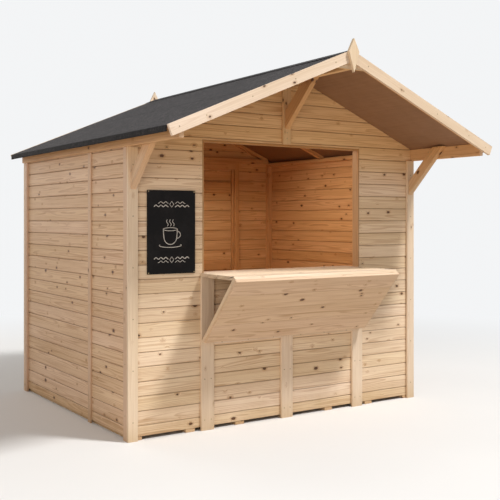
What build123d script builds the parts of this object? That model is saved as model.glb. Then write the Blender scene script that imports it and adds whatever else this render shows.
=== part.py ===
from build123d import *
from math import cos, hypot, radians, tan
import os

# A wooden market stall: a boarded cabin with a serving hatch, under a felted roof that reaches out in front.
# Millimetres. X runs to the right as seen from the front, Y to the back, Z up.
# The origin is on the ground at the centre of the footprint.

# Footprint over the corner boards
WIDTH = 2460.0
DEPTH = 1960.0

# Timber sections
TRIM_THICKNESS = 18.0
CLADDING_THICKNESS = 19.0
FRAME_TIMBER = 45.0
CORNER_BOARD_WIDTH = 70.0
BATTEN_WIDTH = 98.0
COVER_STRIP_WIDTH = 71.0
LINING_THICKNESS = 12.0

# Floor
BEARER_COUNT = 7
BEARER_WIDTH = 70.0
BEARER_HEIGHT = 45.0
FLOOR_THICKNESS = 19.0

# Walls
WALL_FOOT = 22.0
WALL_HEIGHT = 1852.0
GABLE_FOOT_RISE = 71.0
SIDE_JOINT_DEPTH = 622.0
PANEL_GAP = 2.0

# Roof
ROOF_ANGLE = 22.75
DECK_THICKNESS = 18.0
FELT_THICKNESS = 3.5
FELT_LIP = 38.0
FRONT_OVERHANG = 701.0
REAR_OVERHANG = 61.0
SIDE_OVERHANG = 90.5
RAFTER_STATIONS = 4
RAFTER_WIDTH = 40.0
RAFTER_DEPTH = 28.0
TOP_PLATE_DEPTH = 28.0
BARGEBOARD_WIDTH = 68.0
REAR_BARGEBOARD_WIDTH = 40.0
BARGEBOARD_THICKNESS = 20.0
EAVE_BEAM_WIDTH = 30.0
EAVE_BEAM_DEPTH = 90.0
RIDGE_BEAM_WIDTH = 45.0
RIDGE_BEAM_DEPTH = 97.0
GUSSET_THICKNESS = 18.0
GABLE_BATTEN_WIDTH = 70.0

# Finials
FINIAL_THICKNESS = 20.0
FINIAL_RISE = 72.0
FINIAL_DROP = 147.0
FINIAL_WAIST_DROP = 14.0
FINIAL_WIDTH = 86.0

# Knee braces
BRACE_THICKNESS = 40.0
SIDE_BRACE_WIDTH = 75.0
SIDE_BRACE_ANGLE = 45.0
SIDE_BRACE_DROP = 268.0
RIDGE_BRACE_WIDTH = 90.0
RIDGE_BRACE_ANGLE = 43.5
RIDGE_BRACE_DROP = 322.0

# Serving hatch, counter shelf and sloping flap below it
HATCH_WIDTH = 1364.0
SHELF_TOP = 1040.0
SHELF_THICKNESS = 25.0
SHELF_INSIDE_REACH = 180.0
COUNTER_SIDE_LAP = 3.0
COUNTER_SHIFT = 15.0
FLAP_FOOT = 588.0
FLAP_FOOT_REACH = 58.0
FLAP_REACH = 428.0
FLAP_TOP_EDGE = 1008.0
FLAP_BOARD_THICKNESS = 20.0
FLAP_FRAME_THICKNESS = 28.0
FLAP_RAIL_WIDTH = 60.0
FLAP_STILE_WIDTH = 45.0
BATTEN_SIDE_LAP = 16.0
LEDGE_HEIGHT = 22.0

# Sign board
SIGN_HEIGHT = 538.0
SIGN_THICKNESS = 10.0
SIGN_CORNER_GAP = 69.0
SIGN_HATCH_GAP = 60.0
SIGN_FOOT = 1045.0

# Door in the rear wall
DOOR_WIDTH = 780.0
DOOR_CENTRE_X = 370.0
DOOR_HEAD_DEPTH = 46.0
DOOR_HEAD_LIP = 18.0
DOOR_SILL_RISE = 3.0
DOOR_GAP = 5.0
DOOR_BOARD_THICKNESS = 19.0
LEDGE_BOARD_WIDTH = 95.0
LEDGE_BOARD_THICKNESS = 20.0
LEDGE_BOARD_END_GAP = 28.0
LEDGE_BOARD_INSET = 180.0
STOP_SIZE = 20.0
HINGE_PIN_RADIUS = 4.0
HINGE_PIN_CLEARANCE = 0.1
KNUCKLE_RADIUS = 7.5
KNUCKLE_GAP = 0.5
STRAP_THICKNESS = 3.0
STRAP_LENGTH = 320.0
STRAP_WIDTH = 34.0
STRAP_TIP_WIDTH = 18.0
HINGE_PLATE_WIDTH = 45.0
HINGE_PLATE_HEIGHT = 110.0
PULL_HEIGHT = 1000.0
PULL_LENGTH = 160.0
PULL_EDGE_DISTANCE = 70.0
PULL_BAR_RADIUS = 7.0
PULL_STANDOFF = 34.0
PULL_FOOT_SIZE = 26.0

# Levels and faces that follow from the sizes above
SLOPE = tan(radians(ROOF_ANGLE))
UPRIGHT = 1 / cos(radians(ROOF_ANGLE))
FLOOR_TOP = BEARER_HEIGHT + FLOOR_THICKNESS
SOLE_TOP = FLOOR_TOP + FRAME_TIMBER
TRIM_X = WIDTH / 2
CLADDING_X = TRIM_X - TRIM_THICKNESS
FRAME_X = CLADDING_X - CLADDING_THICKNESS
INNER_X = FRAME_X - FRAME_TIMBER
TRIM_Y = DEPTH / 2
CLADDING_Y = TRIM_Y - TRIM_THICKNESS
FRAME_Y = CLADDING_Y - CLADDING_THICKNESS
INNER_Y = FRAME_Y - FRAME_TIMBER
SIDE_JOINT_Y = -TRIM_Y + SIDE_JOINT_DEPTH
DECK_UNDERSIDE = WALL_HEIGHT + EAVE_BEAM_DEPTH + CLADDING_X * SLOPE
DECK_TOP = DECK_UNDERSIDE + DECK_THICKNESS * UPRIGHT
RIDGE_TOP = DECK_TOP + FELT_THICKNESS * UPRIGHT
RAFTER_UNDERSIDE = DECK_UNDERSIDE - RAFTER_DEPTH * UPRIGHT
RIDGE_BEAM_FOOT = DECK_UNDERSIDE - RIDGE_BEAM_DEPTH
GABLE_FOOT = WALL_HEIGHT + GABLE_FOOT_RISE
EAVE_X = TRIM_X + SIDE_OVERHANG
ROOF_FRONT = -TRIM_Y - FRONT_OVERHANG
ROOF_REAR = TRIM_Y + REAR_OVERHANG
DECK_FRONT = ROOF_FRONT + BARGEBOARD_THICKNESS
DECK_REAR = ROOF_REAR - BARGEBOARD_THICKNESS
SHELF_FOOT = SHELF_TOP - SHELF_THICKNESS
EAVE_BEAM_OUTER = CLADDING_X + EAVE_BEAM_WIDTH
PLATE_MIDDLE_X = (INNER_X + FRAME_X) / 2
SIDE_PLATE_TOP = RAFTER_UNDERSIDE - PLATE_MIDDLE_X * SLOPE
SIDE_PLATE_FOOT = SIDE_PLATE_TOP - TOP_PLATE_DEPTH
COUNTER_LEFT = -HATCH_WIDTH / 2 - COUNTER_SIDE_LAP - COUNTER_SHIFT
COUNTER_RIGHT = HATCH_WIDTH / 2 + COUNTER_SIDE_LAP - COUNTER_SHIFT
OUTER_BATTEN_X = HATCH_WIDTH / 2 + BATTEN_SIDE_LAP - BATTEN_WIDTH / 2
DOOR_LEFT = DOOR_CENTRE_X - DOOR_WIDTH / 2
DOOR_RIGHT = DOOR_CENTRE_X + DOOR_WIDTH / 2
DOORWAY_LEFT = DOOR_LEFT - DOOR_GAP
DOORWAY_RIGHT = DOOR_RIGHT + DOOR_GAP
DOORWAY_TOP = GABLE_FOOT - DOOR_HEAD_DEPTH
DOORWAY_FOOT = FLOOR_TOP + DOOR_SILL_RISE
DOOR_TOP = DOORWAY_TOP - DOOR_GAP
DOOR_FOOT = DOORWAY_FOOT + DOOR_GAP


def roof_height(x, ridge):
    """Height at X of a roof surface whose ridge stands at the given height."""
    return ridge - abs(x) * SLOPE


def roof_reach(z, ridge):
    """Distance from the ridge at which a roof surface comes down to height z."""
    return (ridge - z) / SLOPE


def block(x_span, y_span, z_span):
    """A rectangular timber between the low and high values of each span."""
    spans = (x_span, y_span, z_span)
    sizes = [high - low for low, high in spans]
    middle = [(high + low) / 2 for low, high in spans]
    return Pos(*middle) * Box(*sizes)


def along_y(outline, y_span):
    """A prism whose outline lies in X and Z and which runs along Y."""
    low, high = y_span
    face = Plane.XZ.offset(-low) * Polygon(*outline, align=None)
    return extrude(face, amount=high - low, dir=(0, 1, 0))


def along_x(outline, x_span):
    """A prism whose outline lies in Y and Z and which runs along X."""
    low, high = x_span
    face = Plane.YZ.offset(low) * Polygon(*outline, align=None)
    return extrude(face, amount=high - low, dir=(1, 0, 0))


def along_z(outline, z_span):
    """A prism whose outline lies in X and Y and which rises along Z."""
    low, high = z_span
    face = Plane.XY.offset(low) * Polygon(*outline, align=None)
    return extrude(face, amount=high - low, dir=(0, 0, 1))


def turned(outline):
    """The mirror image of an outline across its first axis, in the same turning sense."""
    return [(-across, up) for across, up in reversed(outline)]


def save(name, *solids):
    """Write one named piece, which may hold several separate solids."""
    export_step(Compound(children=list(solids)), "parts/" + name + ".step")


def centred(middle, size):
    """The span of the given size about a middle value."""
    return (middle - size / 2, middle + size / 2)


def make_floor():
    """Bearers from front to back, with a boarded deck over them."""
    step = (2 * FRAME_X - BEARER_WIDTH) / (BEARER_COUNT - 1)
    first = -FRAME_X + BEARER_WIDTH / 2
    places = [first + index * step for index in range(BEARER_COUNT)]
    bearers = [
        block(centred(place, BEARER_WIDTH), (-FRAME_Y, FRAME_Y), (0, BEARER_HEIGHT))
        for place in places
    ]
    save("floor_bearers", *bearers)
    save("floor_deck", block((-FRAME_X, FRAME_X), (-FRAME_Y, FRAME_Y), (BEARER_HEIGHT, FLOOR_TOP)))


def make_front_wall():
    """Boarded panels beside and below the hatch."""
    front = (-CLADDING_Y, -FRAME_Y)
    hatch = HATCH_WIDTH / 2
    save("front_wall_left", block((-CLADDING_X, -hatch), front, (WALL_FOOT, GABLE_FOOT)))
    save("front_wall_right", block((hatch, CLADDING_X), front, (WALL_FOOT, GABLE_FOOT)))
    save("front_wall_below_counter", block((-hatch, hatch), front, (WALL_FOOT, SHELF_FOOT)))


def make_rear_wall():
    """Boarded panels beside and over the doorway."""
    rear = (FRAME_Y, CLADDING_Y)
    save("rear_wall_left", block((-CLADDING_X, DOORWAY_LEFT), rear, (WALL_FOOT, GABLE_FOOT)))
    save("rear_wall_right", block((DOORWAY_RIGHT, CLADDING_X), rear, (WALL_FOOT, GABLE_FOOT)))
    save("rear_wall_over_door", block((DOORWAY_LEFT, DOORWAY_RIGHT), rear, (DOORWAY_TOP, GABLE_FOOT)))
    save("rear_wall_below_door", block((DOORWAY_LEFT, DOORWAY_RIGHT), rear, (WALL_FOOT, DOORWAY_FOOT)))


def make_side_walls():
    """Each side wall is a short front panel and a long rear panel, bevelled up to the roof deck."""
    front = (-FRAME_Y, SIDE_JOINT_Y - PANEL_GAP / 2)
    rear = (SIDE_JOINT_Y + PANEL_GAP / 2, FRAME_Y)
    outline = [
        (FRAME_X, WALL_FOOT),
        (CLADDING_X, WALL_FOOT),
        (CLADDING_X, roof_height(CLADDING_X, DECK_UNDERSIDE)),
        (FRAME_X, roof_height(FRAME_X, DECK_UNDERSIDE)),
    ]
    for side, section in (("left", turned(outline)), ("right", outline)):
        save(side + "_wall", along_y(section, front), along_y(section, rear))


def gable_panel(y_span):
    """The boarded triangle under the roof deck, notched round the ridge beam."""
    half_beam = RIDGE_BEAM_WIDTH / 2
    half = [
        (half_beam, RIDGE_BEAM_FOOT),
        (half_beam, roof_height(half_beam, DECK_UNDERSIDE)),
        (CLADDING_X, roof_height(CLADDING_X, DECK_UNDERSIDE)),
        (CLADDING_X, GABLE_FOOT),
    ]
    outline = turned(half) + half
    return along_y(outline, y_span)


def gable_rails(y_span):
    """Sloping rails behind a gable panel, from the ridge beam down to the header."""
    header_top = GABLE_FOOT + FRAME_TIMBER
    half_beam = RIDGE_BEAM_WIDTH / 2
    right = [
        (half_beam, roof_height(half_beam, RAFTER_UNDERSIDE)),
        (half_beam, roof_height(half_beam, DECK_UNDERSIDE)),
        (roof_reach(header_top, DECK_UNDERSIDE), header_top),
        (roof_reach(header_top, RAFTER_UNDERSIDE), header_top),
    ]
    return along_y(right, y_span), along_y(turned(right), y_span)


def make_gables():
    """Front and rear gables, and the sloping rails behind their boards."""
    save("front_gable", gable_panel((-CLADDING_Y, -FRAME_Y)))
    save("rear_gable", gable_panel((FRAME_Y, CLADDING_Y)))
    save("gable_rails", *gable_rails((-FRAME_Y, -INNER_Y)), *gable_rails((INNER_Y, FRAME_Y)))


def make_posts():
    """Corner posts, and the studs at the hatch, the doorway and the side panel joints."""
    sides = ((-FRAME_X, -INNER_X), (INNER_X, FRAME_X))
    front = (-FRAME_Y, -INNER_Y)
    rear = (INNER_Y, FRAME_Y)
    joint = centred(SIDE_JOINT_Y, FRAME_TIMBER)
    hatch = HATCH_WIDTH / 2
    corner_height = (FLOOR_TOP, SIDE_PLATE_FOOT)
    save("corner_posts", *[block(x, y, corner_height) for x in sides for y in (front, rear)])
    side_studs = [block(x, joint, (SOLE_TOP, SIDE_PLATE_FOOT)) for x in sides]
    hatch_studs = [
        block((-hatch - FRAME_TIMBER, -hatch), front, (SOLE_TOP, GABLE_FOOT)),
        block((hatch, hatch + FRAME_TIMBER), front, (SOLE_TOP, GABLE_FOOT)),
        block(centred(0, FRAME_TIMBER), front, (SOLE_TOP, SHELF_FOOT - FRAME_TIMBER)),
    ]
    door_posts = [
        block((DOORWAY_LEFT - FRAME_TIMBER, DOORWAY_LEFT), rear, (FLOOR_TOP, GABLE_FOOT)),
        block((DOORWAY_RIGHT, DOORWAY_RIGHT + FRAME_TIMBER), rear, (FLOOR_TOP, GABLE_FOOT)),
    ]
    save("wall_studs", *side_studs, *hatch_studs, *door_posts)


def make_plates():
    """Level frame timbers: sole plates on the floor, top plates, headers and the hatch sill."""
    sides = ((-FRAME_X, -INNER_X), (INNER_X, FRAME_X))
    front = (-FRAME_Y, -INNER_Y)
    rear = (INNER_Y, FRAME_Y)
    across = (-INNER_X, INNER_X)
    hatch = HATCH_WIDTH / 2
    sole_height = (FLOOR_TOP, SOLE_TOP)
    header_height = (GABLE_FOOT, GABLE_FOOT + FRAME_TIMBER)
    soles = [block(x, (-INNER_Y, INNER_Y), sole_height) for x in sides]
    tops = [block(x, (-FRAME_Y, FRAME_Y), (SIDE_PLATE_FOOT, SIDE_PLATE_TOP)) for x in sides]
    save("side_plates", *soles, *tops)
    end_plates = [
        block(across, front, sole_height),
        block((-INNER_X, DOORWAY_LEFT - FRAME_TIMBER), rear, sole_height),
        block((DOORWAY_RIGHT + FRAME_TIMBER, INNER_X), rear, sole_height),
        block(across, front, header_height),
        block(across, rear, header_height),
    ]
    save("end_plates", *end_plates)
    save("hatch_sill", block((-hatch, hatch), front, (SHELF_FOOT - FRAME_TIMBER, SHELF_FOOT)))
    head = block((DOORWAY_LEFT, DOORWAY_RIGHT), rear, (DOORWAY_TOP, GABLE_FOOT))
    behind_leaf = (INNER_Y, FRAME_Y - DOOR_GAP)
    lip = block((DOORWAY_LEFT, DOORWAY_RIGHT), behind_leaf, (DOORWAY_TOP - DOOR_HEAD_LIP, DOORWAY_TOP))
    save("door_frame_head", head + lip)


def make_corner_boards():
    """Upright boards that cover the corners, and a strip over each side panel joint."""
    height = (0, WALL_HEIGHT)
    left = (-TRIM_X, -TRIM_X + CORNER_BOARD_WIDTH)
    right = (TRIM_X - CORNER_BOARD_WIDTH, TRIM_X)
    faces = ((-TRIM_Y, -CLADDING_Y), (CLADDING_Y, TRIM_Y))
    save("corner_boards", *[block(x, y, height) for x in (left, right) for y in faces])
    sides = ((-TRIM_X, -CLADDING_X), (CLADDING_X, TRIM_X))
    places = (
        (-CLADDING_Y, -TRIM_Y + CORNER_BOARD_WIDTH),
        centred(SIDE_JOINT_Y, COVER_STRIP_WIDTH),
        (TRIM_Y - CORNER_BOARD_WIDTH, CLADDING_Y),
    )
    save("side_battens", *[block(x, y, height) for x in sides for y in places])


def make_front_battens():
    """Upright battens below the counter and up the gable, and the strips between them at the flap's foot."""
    face = (-TRIM_Y, -CLADDING_Y)
    places = (-OUTER_BATTEN_X, 0, OUTER_BATTEN_X)
    battens = [block(centred(place, BATTEN_WIDTH), face, (0, SHELF_FOOT)) for place in places]
    gable_batten = block(centred(0, GABLE_BATTEN_WIDTH), face, (GABLE_FOOT, RIDGE_BEAM_FOOT))
    save("front_battens", *battens, gable_batten)
    near = BATTEN_WIDTH / 2
    far = OUTER_BATTEN_X - BATTEN_WIDTH / 2
    ledge_height = (FLAP_FOOT - LEDGE_HEIGHT, FLAP_FOOT)
    save("flap_ledge", block((-far, -near), face, ledge_height), block((near, far), face, ledge_height))


def make_hatch_lining():
    """Thin boards that line the sides and the head of the hatch."""
    hatch = HATCH_WIDTH / 2
    depth = (-CLADDING_Y, -INNER_Y)
    left = block((-hatch, -hatch + LINING_THICKNESS), depth, (SHELF_TOP, GABLE_FOOT - LINING_THICKNESS))
    right = block((hatch - LINING_THICKNESS, hatch), depth, (SHELF_TOP, GABLE_FOOT - LINING_THICKNESS))
    save("hatch_side_linings", left, right)
    save("hatch_head_lining", block((-hatch, hatch), depth, (GABLE_FOOT - LINING_THICKNESS, GABLE_FOOT)))


def flap_axes():
    """Unit steps in Y and Z: up the slope of the flap, and square to it towards the wall."""
    rise = FLAP_TOP_EDGE - FLAP_FOOT
    run = FLAP_REACH - FLAP_FOOT_REACH
    length = hypot(rise, run)
    up_slope = (-run / length, rise / length)
    inward = (rise / length, run / length)
    return up_slope, inward, length


def flap_layer(outer, inner, low, high):
    """Outline in Y and Z of a layer between two depths and two distances down from the top edge."""
    up_slope, inward, length = flap_axes()
    top_y = -TRIM_Y - FLAP_REACH
    corners = ((outer, low), (outer, high), (inner, high), (inner, low))
    outline = []
    for depth, drop in corners:
        y = top_y + inward[0] * depth - up_slope[0] * drop
        z = FLAP_TOP_EDGE + inward[1] * depth - up_slope[1] * drop
        outline.append((y, z))
    return outline


def make_counter():
    """The shelf through the hatch, and the sloping boarded flap that carries its front edge."""
    up_slope, inward, length = flap_axes()
    hatch = HATCH_WIDTH / 2
    total = FLAP_BOARD_THICKNESS + FLAP_FRAME_THICKNESS
    front_edge = -TRIM_Y - FLAP_REACH + total * inward[0]
    inside_edge = -TRIM_Y + SHELF_INSIDE_REACH
    shelf = along_z(
        [
            (COUNTER_LEFT, front_edge),
            (COUNTER_RIGHT, front_edge),
            (COUNTER_RIGHT, -CLADDING_Y),
            (hatch, -CLADDING_Y),
            (hatch, inside_edge),
            (-hatch, inside_edge),
            (-hatch, -CLADDING_Y),
            (COUNTER_LEFT, -CLADDING_Y),
        ],
        (SHELF_FOOT, SHELF_TOP),
    )
    across = (COUNTER_LEFT, COUNTER_RIGHT)
    below_foot = length + BATTEN_WIDTH
    foot_start = length - FLAP_RAIL_WIDTH
    room = block((-WIDTH, WIDTH), (-TRIM_Y - DEPTH, -TRIM_Y), (FLAP_FOOT, SHELF_TOP))
    boards = along_x(flap_layer(0, FLAP_BOARD_THICKNESS, below_foot, 0), across) & room
    save("counter_flap_boards", boards)
    top_rail = along_x(flap_layer(FLAP_BOARD_THICKNESS, total, FLAP_RAIL_WIDTH, 0), across) & room
    foot_rail = along_x(flap_layer(FLAP_BOARD_THICKNESS, total, below_foot, foot_start), across) & room
    save("counter_flap_rails", top_rail, foot_rail)
    stile_outline = flap_layer(FLAP_BOARD_THICKNESS, total, foot_start, FLAP_RAIL_WIDTH)
    first = COUNTER_LEFT + FLAP_STILE_WIDTH / 2
    last = COUNTER_RIGHT - FLAP_STILE_WIDTH / 2
    places = (first, (first + last) / 2, last)
    stiles = [along_x(stile_outline, centred(place, FLAP_STILE_WIDTH)) & room for place in places]
    save("counter_flap_stiles", *stiles)
    save("counter_shelf", shelf - along_x(flap_layer(0, total, below_foot, 0), across))


def make_beams():
    """Ridge beam and eave beams, bevelled on top under the deck, and gussets on the ridge beam's ends."""
    run = (DECK_FRONT, DECK_REAR)
    inside = (DECK_FRONT + GUSSET_THICKNESS, DECK_REAR - GUSSET_THICKNESS)
    half_beam = RIDGE_BEAM_WIDTH / 2
    ridge = [
        (-half_beam, RIDGE_BEAM_FOOT),
        (half_beam, RIDGE_BEAM_FOOT),
        (half_beam, roof_height(half_beam, DECK_UNDERSIDE)),
        (0, DECK_UNDERSIDE),
        (-half_beam, roof_height(half_beam, DECK_UNDERSIDE)),
    ]
    eave = [
        (CLADDING_X, WALL_HEIGHT),
        (EAVE_BEAM_OUTER, WALL_HEIGHT),
        (EAVE_BEAM_OUTER, roof_height(EAVE_BEAM_OUTER, DECK_UNDERSIDE)),
        (CLADDING_X, roof_height(CLADDING_X, DECK_UNDERSIDE)),
    ]
    half_gusset = [
        (roof_reach(RIDGE_BEAM_FOOT, RAFTER_UNDERSIDE), RIDGE_BEAM_FOOT),
        (half_beam, roof_height(half_beam, RAFTER_UNDERSIDE)),
        (half_beam, roof_height(half_beam, DECK_UNDERSIDE)),
    ]
    gusset = half_gusset + [(0, DECK_UNDERSIDE)] + turned(half_gusset)
    save("apex_gussets", along_y(gusset, (run[0], inside[0])), along_y(gusset, (inside[1], run[1])))
    save("ridge_beam", along_y(ridge, inside))
    save("eave_beams", along_y(turned(eave), run), along_y(eave, run))


def make_rafters():
    """Flat rafters: the end ones reach the eave beams, the others are notched onto the top plates."""
    start = DECK_FRONT + RAFTER_WIDTH / 2
    step = (DECK_REAR - DECK_FRONT - RAFTER_WIDTH) / (RAFTER_STATIONS - 1)
    half_beam = RIDGE_BEAM_WIDTH / 2
    upper = [
        (half_beam, roof_height(half_beam, RAFTER_UNDERSIDE)),
        (half_beam, roof_height(half_beam, DECK_UNDERSIDE)),
    ]
    end_outline = upper + [
        (CLADDING_X, roof_height(CLADDING_X, DECK_UNDERSIDE)),
        (CLADDING_X, roof_height(CLADDING_X, RAFTER_UNDERSIDE)),
    ]
    seated_outline = upper + [
        (FRAME_X, roof_height(FRAME_X, DECK_UNDERSIDE)),
        (FRAME_X, SIDE_PLATE_TOP),
        (PLATE_MIDDLE_X, SIDE_PLATE_TOP),
    ]
    last = RAFTER_STATIONS - 1
    outlines = [end_outline if index in (0, last) else seated_outline for index in range(RAFTER_STATIONS)]
    spans = [centred(start + index * step, RAFTER_WIDTH) for index in range(RAFTER_STATIONS)]
    right = [along_y(outline, span) for outline, span in zip(outlines, spans)]
    left = [along_y(turned(outline), span) for outline, span in zip(outlines, spans)]
    save("rafters", *right, *left)


def make_roof_covering():
    """Deck sheets and felt on both slopes; the felt turns down over each eave."""
    run = (DECK_FRONT, DECK_REAR)
    deck_edge = EAVE_X - FELT_THICKNESS
    deck = [
        (0, DECK_UNDERSIDE),
        (0, DECK_TOP),
        (deck_edge, roof_height(deck_edge, DECK_TOP)),
        (deck_edge, roof_height(deck_edge, DECK_UNDERSIDE)),
    ]
    felt = [
        (0, DECK_TOP),
        (0, RIDGE_TOP),
        (EAVE_X, roof_height(EAVE_X, RIDGE_TOP)),
        (EAVE_X, roof_height(EAVE_X, RIDGE_TOP) - FELT_LIP),
        (deck_edge, roof_height(EAVE_X, RIDGE_TOP) - FELT_LIP),
        (deck_edge, roof_height(deck_edge, DECK_TOP)),
    ]
    save("roof_deck_right", along_y(deck, run))
    save("roof_deck_left", along_y(turned(deck), run))
    save("roof_felt_right", along_y(felt, run))
    save("roof_felt_left", along_y(turned(felt), run))


def bargeboard_outline(width):
    """The right-hand bargeboard of a gable, plumb-cut at the ridge and square-cut at the eave."""
    end_drop = width * cos(radians(ROOF_ANGLE))
    end_inset = end_drop * SLOPE
    eave_top = roof_height(EAVE_X, RIDGE_TOP)
    return [
        (0, RIDGE_TOP - width * UPRIGHT),
        (0, RIDGE_TOP),
        (EAVE_X, eave_top),
        (EAVE_X - end_inset, eave_top - end_drop),
    ]


def make_bargeboards():
    """Sloping boards along the roof's ends, joined on the ridge line; the rear ones are narrower."""
    front = bargeboard_outline(BARGEBOARD_WIDTH)
    rear = bargeboard_outline(REAR_BARGEBOARD_WIDTH)
    front_run = (ROOF_FRONT, DECK_FRONT)
    rear_run = (DECK_REAR, ROOF_REAR)
    save("bargeboards_right", along_y(front, front_run), along_y(rear, rear_run))
    save("bargeboards_left", along_y(turned(front), front_run), along_y(turned(rear), rear_run))


def make_finials():
    """Kite-shaped boards over the bargeboard joints."""
    half = FINIAL_WIDTH / 2
    waist = RIDGE_TOP - FINIAL_WAIST_DROP
    kite = [(0, RIDGE_TOP - FINIAL_DROP), (half, waist), (0, RIDGE_TOP + FINIAL_RISE), (-half, waist)]
    front = along_y(kite, (ROOF_FRONT - FINIAL_THICKNESS, ROOF_FRONT))
    rear = along_y(kite, (ROOF_REAR, ROOF_REAR + FINIAL_THICKNESS))
    save("finials", front, rear)


def brace_outline(foot, head, width, angle):
    """A slanting brace from the front face at one height up to a level cut at another."""
    rise_rate = tan(radians(angle))
    upright_cut = width / cos(radians(angle))
    reach = (head - foot) / rise_rate
    head_reach = (head - foot - upright_cut) / rise_rate
    return [
        (-TRIM_Y, foot),
        (-TRIM_Y - reach, head),
        (-TRIM_Y - head_reach, head),
        (-TRIM_Y, foot + upright_cut),
    ]


def make_braces():
    """Knee braces under the front overhang: one beside each eave beam and one at the ridge."""
    inner_face = CLADDING_X - BRACE_THICKNESS
    side_foot = WALL_HEIGHT - SIDE_BRACE_DROP
    side_head = roof_height(inner_face, DECK_UNDERSIDE)
    side = brace_outline(side_foot, side_head, SIDE_BRACE_WIDTH, SIDE_BRACE_ANGLE)
    above_deck = [
        (inner_face, roof_height(inner_face, DECK_UNDERSIDE)),
        (inner_face, RIDGE_TOP),
        (CLADDING_X, RIDGE_TOP),
        (CLADDING_X, roof_height(CLADDING_X, DECK_UNDERSIDE)),
    ]
    reach = (ROOF_FRONT, -TRIM_Y)
    right = along_x(side, (inner_face, CLADDING_X)) - along_y(above_deck, reach)
    left = along_x(side, (-CLADDING_X, -inner_face)) - along_y(turned(above_deck), reach)
    ridge_foot = RIDGE_BEAM_FOOT - RIDGE_BRACE_DROP
    centre = brace_outline(ridge_foot, RIDGE_BEAM_FOOT, RIDGE_BRACE_WIDTH, RIDGE_BRACE_ANGLE)
    save("knee_braces", left, along_x(centre, centred(0, BRACE_THICKNESS)), right)


def make_sign():
    """A plain flat board on the left front panel."""
    face = (-CLADDING_Y - SIGN_THICKNESS, -CLADDING_Y)
    left = -TRIM_X + CORNER_BOARD_WIDTH + SIGN_CORNER_GAP
    right = -HATCH_WIDTH / 2 - SIGN_HATCH_GAP
    save("sign_board", block((left, right), face, (SIGN_FOOT, SIGN_FOOT + SIGN_HEIGHT)))


def make_door_stops():
    """Strips on the doorway's posts that the leaf closes towards."""
    stop_face = FRAME_Y - DOOR_GAP
    stop = (stop_face - STOP_SIZE, stop_face)
    stop_height = (FLOOR_TOP, DOORWAY_TOP - DOOR_HEAD_LIP)
    stops = [
        block((DOORWAY_LEFT, DOORWAY_LEFT + STOP_SIZE), stop, stop_height),
        block((DOORWAY_RIGHT - STOP_SIZE, DOORWAY_RIGHT), stop, stop_height),
    ]
    save("door_stops", *stops)


def hinge_heights():
    """Heights of the two hinges, each at the middle of a ledge of the door."""
    low = DOOR_FOOT + LEDGE_BOARD_INSET
    high = DOOR_TOP - LEDGE_BOARD_INSET
    return low, high


def hinge_axis():
    """X and Y of the hinge line: over the gap at the leaf's left edge, clear of the boards."""
    return DOORWAY_LEFT + DOOR_GAP / 2, CLADDING_Y + KNUCKLE_RADIUS


def hinge_rod(z_span, radius):
    """A round bar on the hinge line."""
    x, y = hinge_axis()
    low, high = z_span
    return Pos(x, y, (low + high) / 2) * Cylinder(radius, high - low)


def hinge_strap(height):
    """A tapered strap on the leaf, with the middle knuckle of the hinge."""
    x, y = hinge_axis()
    tip = x + STRAP_LENGTH
    outline = [
        (x, height - STRAP_WIDTH / 2),
        (x, height + STRAP_WIDTH / 2),
        (tip, height + STRAP_TIP_WIDTH / 2),
        (tip, height - STRAP_TIP_WIDTH / 2),
    ]
    strap = along_y(outline, (CLADDING_Y, CLADDING_Y + STRAP_THICKNESS))
    knuckle_span = centred(height, STRAP_WIDTH / 3)
    outer_room = hinge_rod(centred(height, STRAP_WIDTH), KNUCKLE_RADIUS + KNUCKLE_GAP)
    inner_room = hinge_rod(knuckle_span, KNUCKLE_RADIUS + KNUCKLE_GAP)
    strap = strap - (outer_room - inner_room)
    bore = hinge_rod(knuckle_span, HINGE_PIN_RADIUS + HINGE_PIN_CLEARANCE)
    return strap + hinge_rod(knuckle_span, KNUCKLE_RADIUS) - bore


def hinge_plate(height):
    """A plate on the wall, with the two outer knuckles and the pin through all three."""
    x, y = hinge_axis()
    face = (CLADDING_Y, CLADDING_Y + STRAP_THICKNESS)
    whole = centred(height, STRAP_WIDTH)
    plate = block((x - HINGE_PLATE_WIDTH, x), face, centred(height, HINGE_PLATE_HEIGHT))
    knuckle_room = centred(height, STRAP_WIDTH / 3 + 2 * KNUCKLE_GAP)
    body = plate + hinge_rod(whole, KNUCKLE_RADIUS)
    body = body - hinge_rod(knuckle_room, KNUCKLE_RADIUS + KNUCKLE_GAP)
    return body + hinge_rod(whole, HINGE_PIN_RADIUS)


def pull_handle():
    """An upright bar handle on two feet, near the free edge of the leaf."""
    x = DOOR_RIGHT - PULL_EDGE_DISTANCE
    bar_y = CLADDING_Y + PULL_STANDOFF
    pull = Pos(x, bar_y, PULL_HEIGHT) * Cylinder(PULL_BAR_RADIUS, PULL_LENGTH)
    for side in (-1, 1):
        middle = PULL_HEIGHT + side * (PULL_LENGTH - PULL_FOOT_SIZE) / 2
        foot = block(centred(x, PULL_FOOT_SIZE), (CLADDING_Y, bar_y), centred(middle, PULL_FOOT_SIZE))
        pull = pull + foot
    return pull


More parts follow.
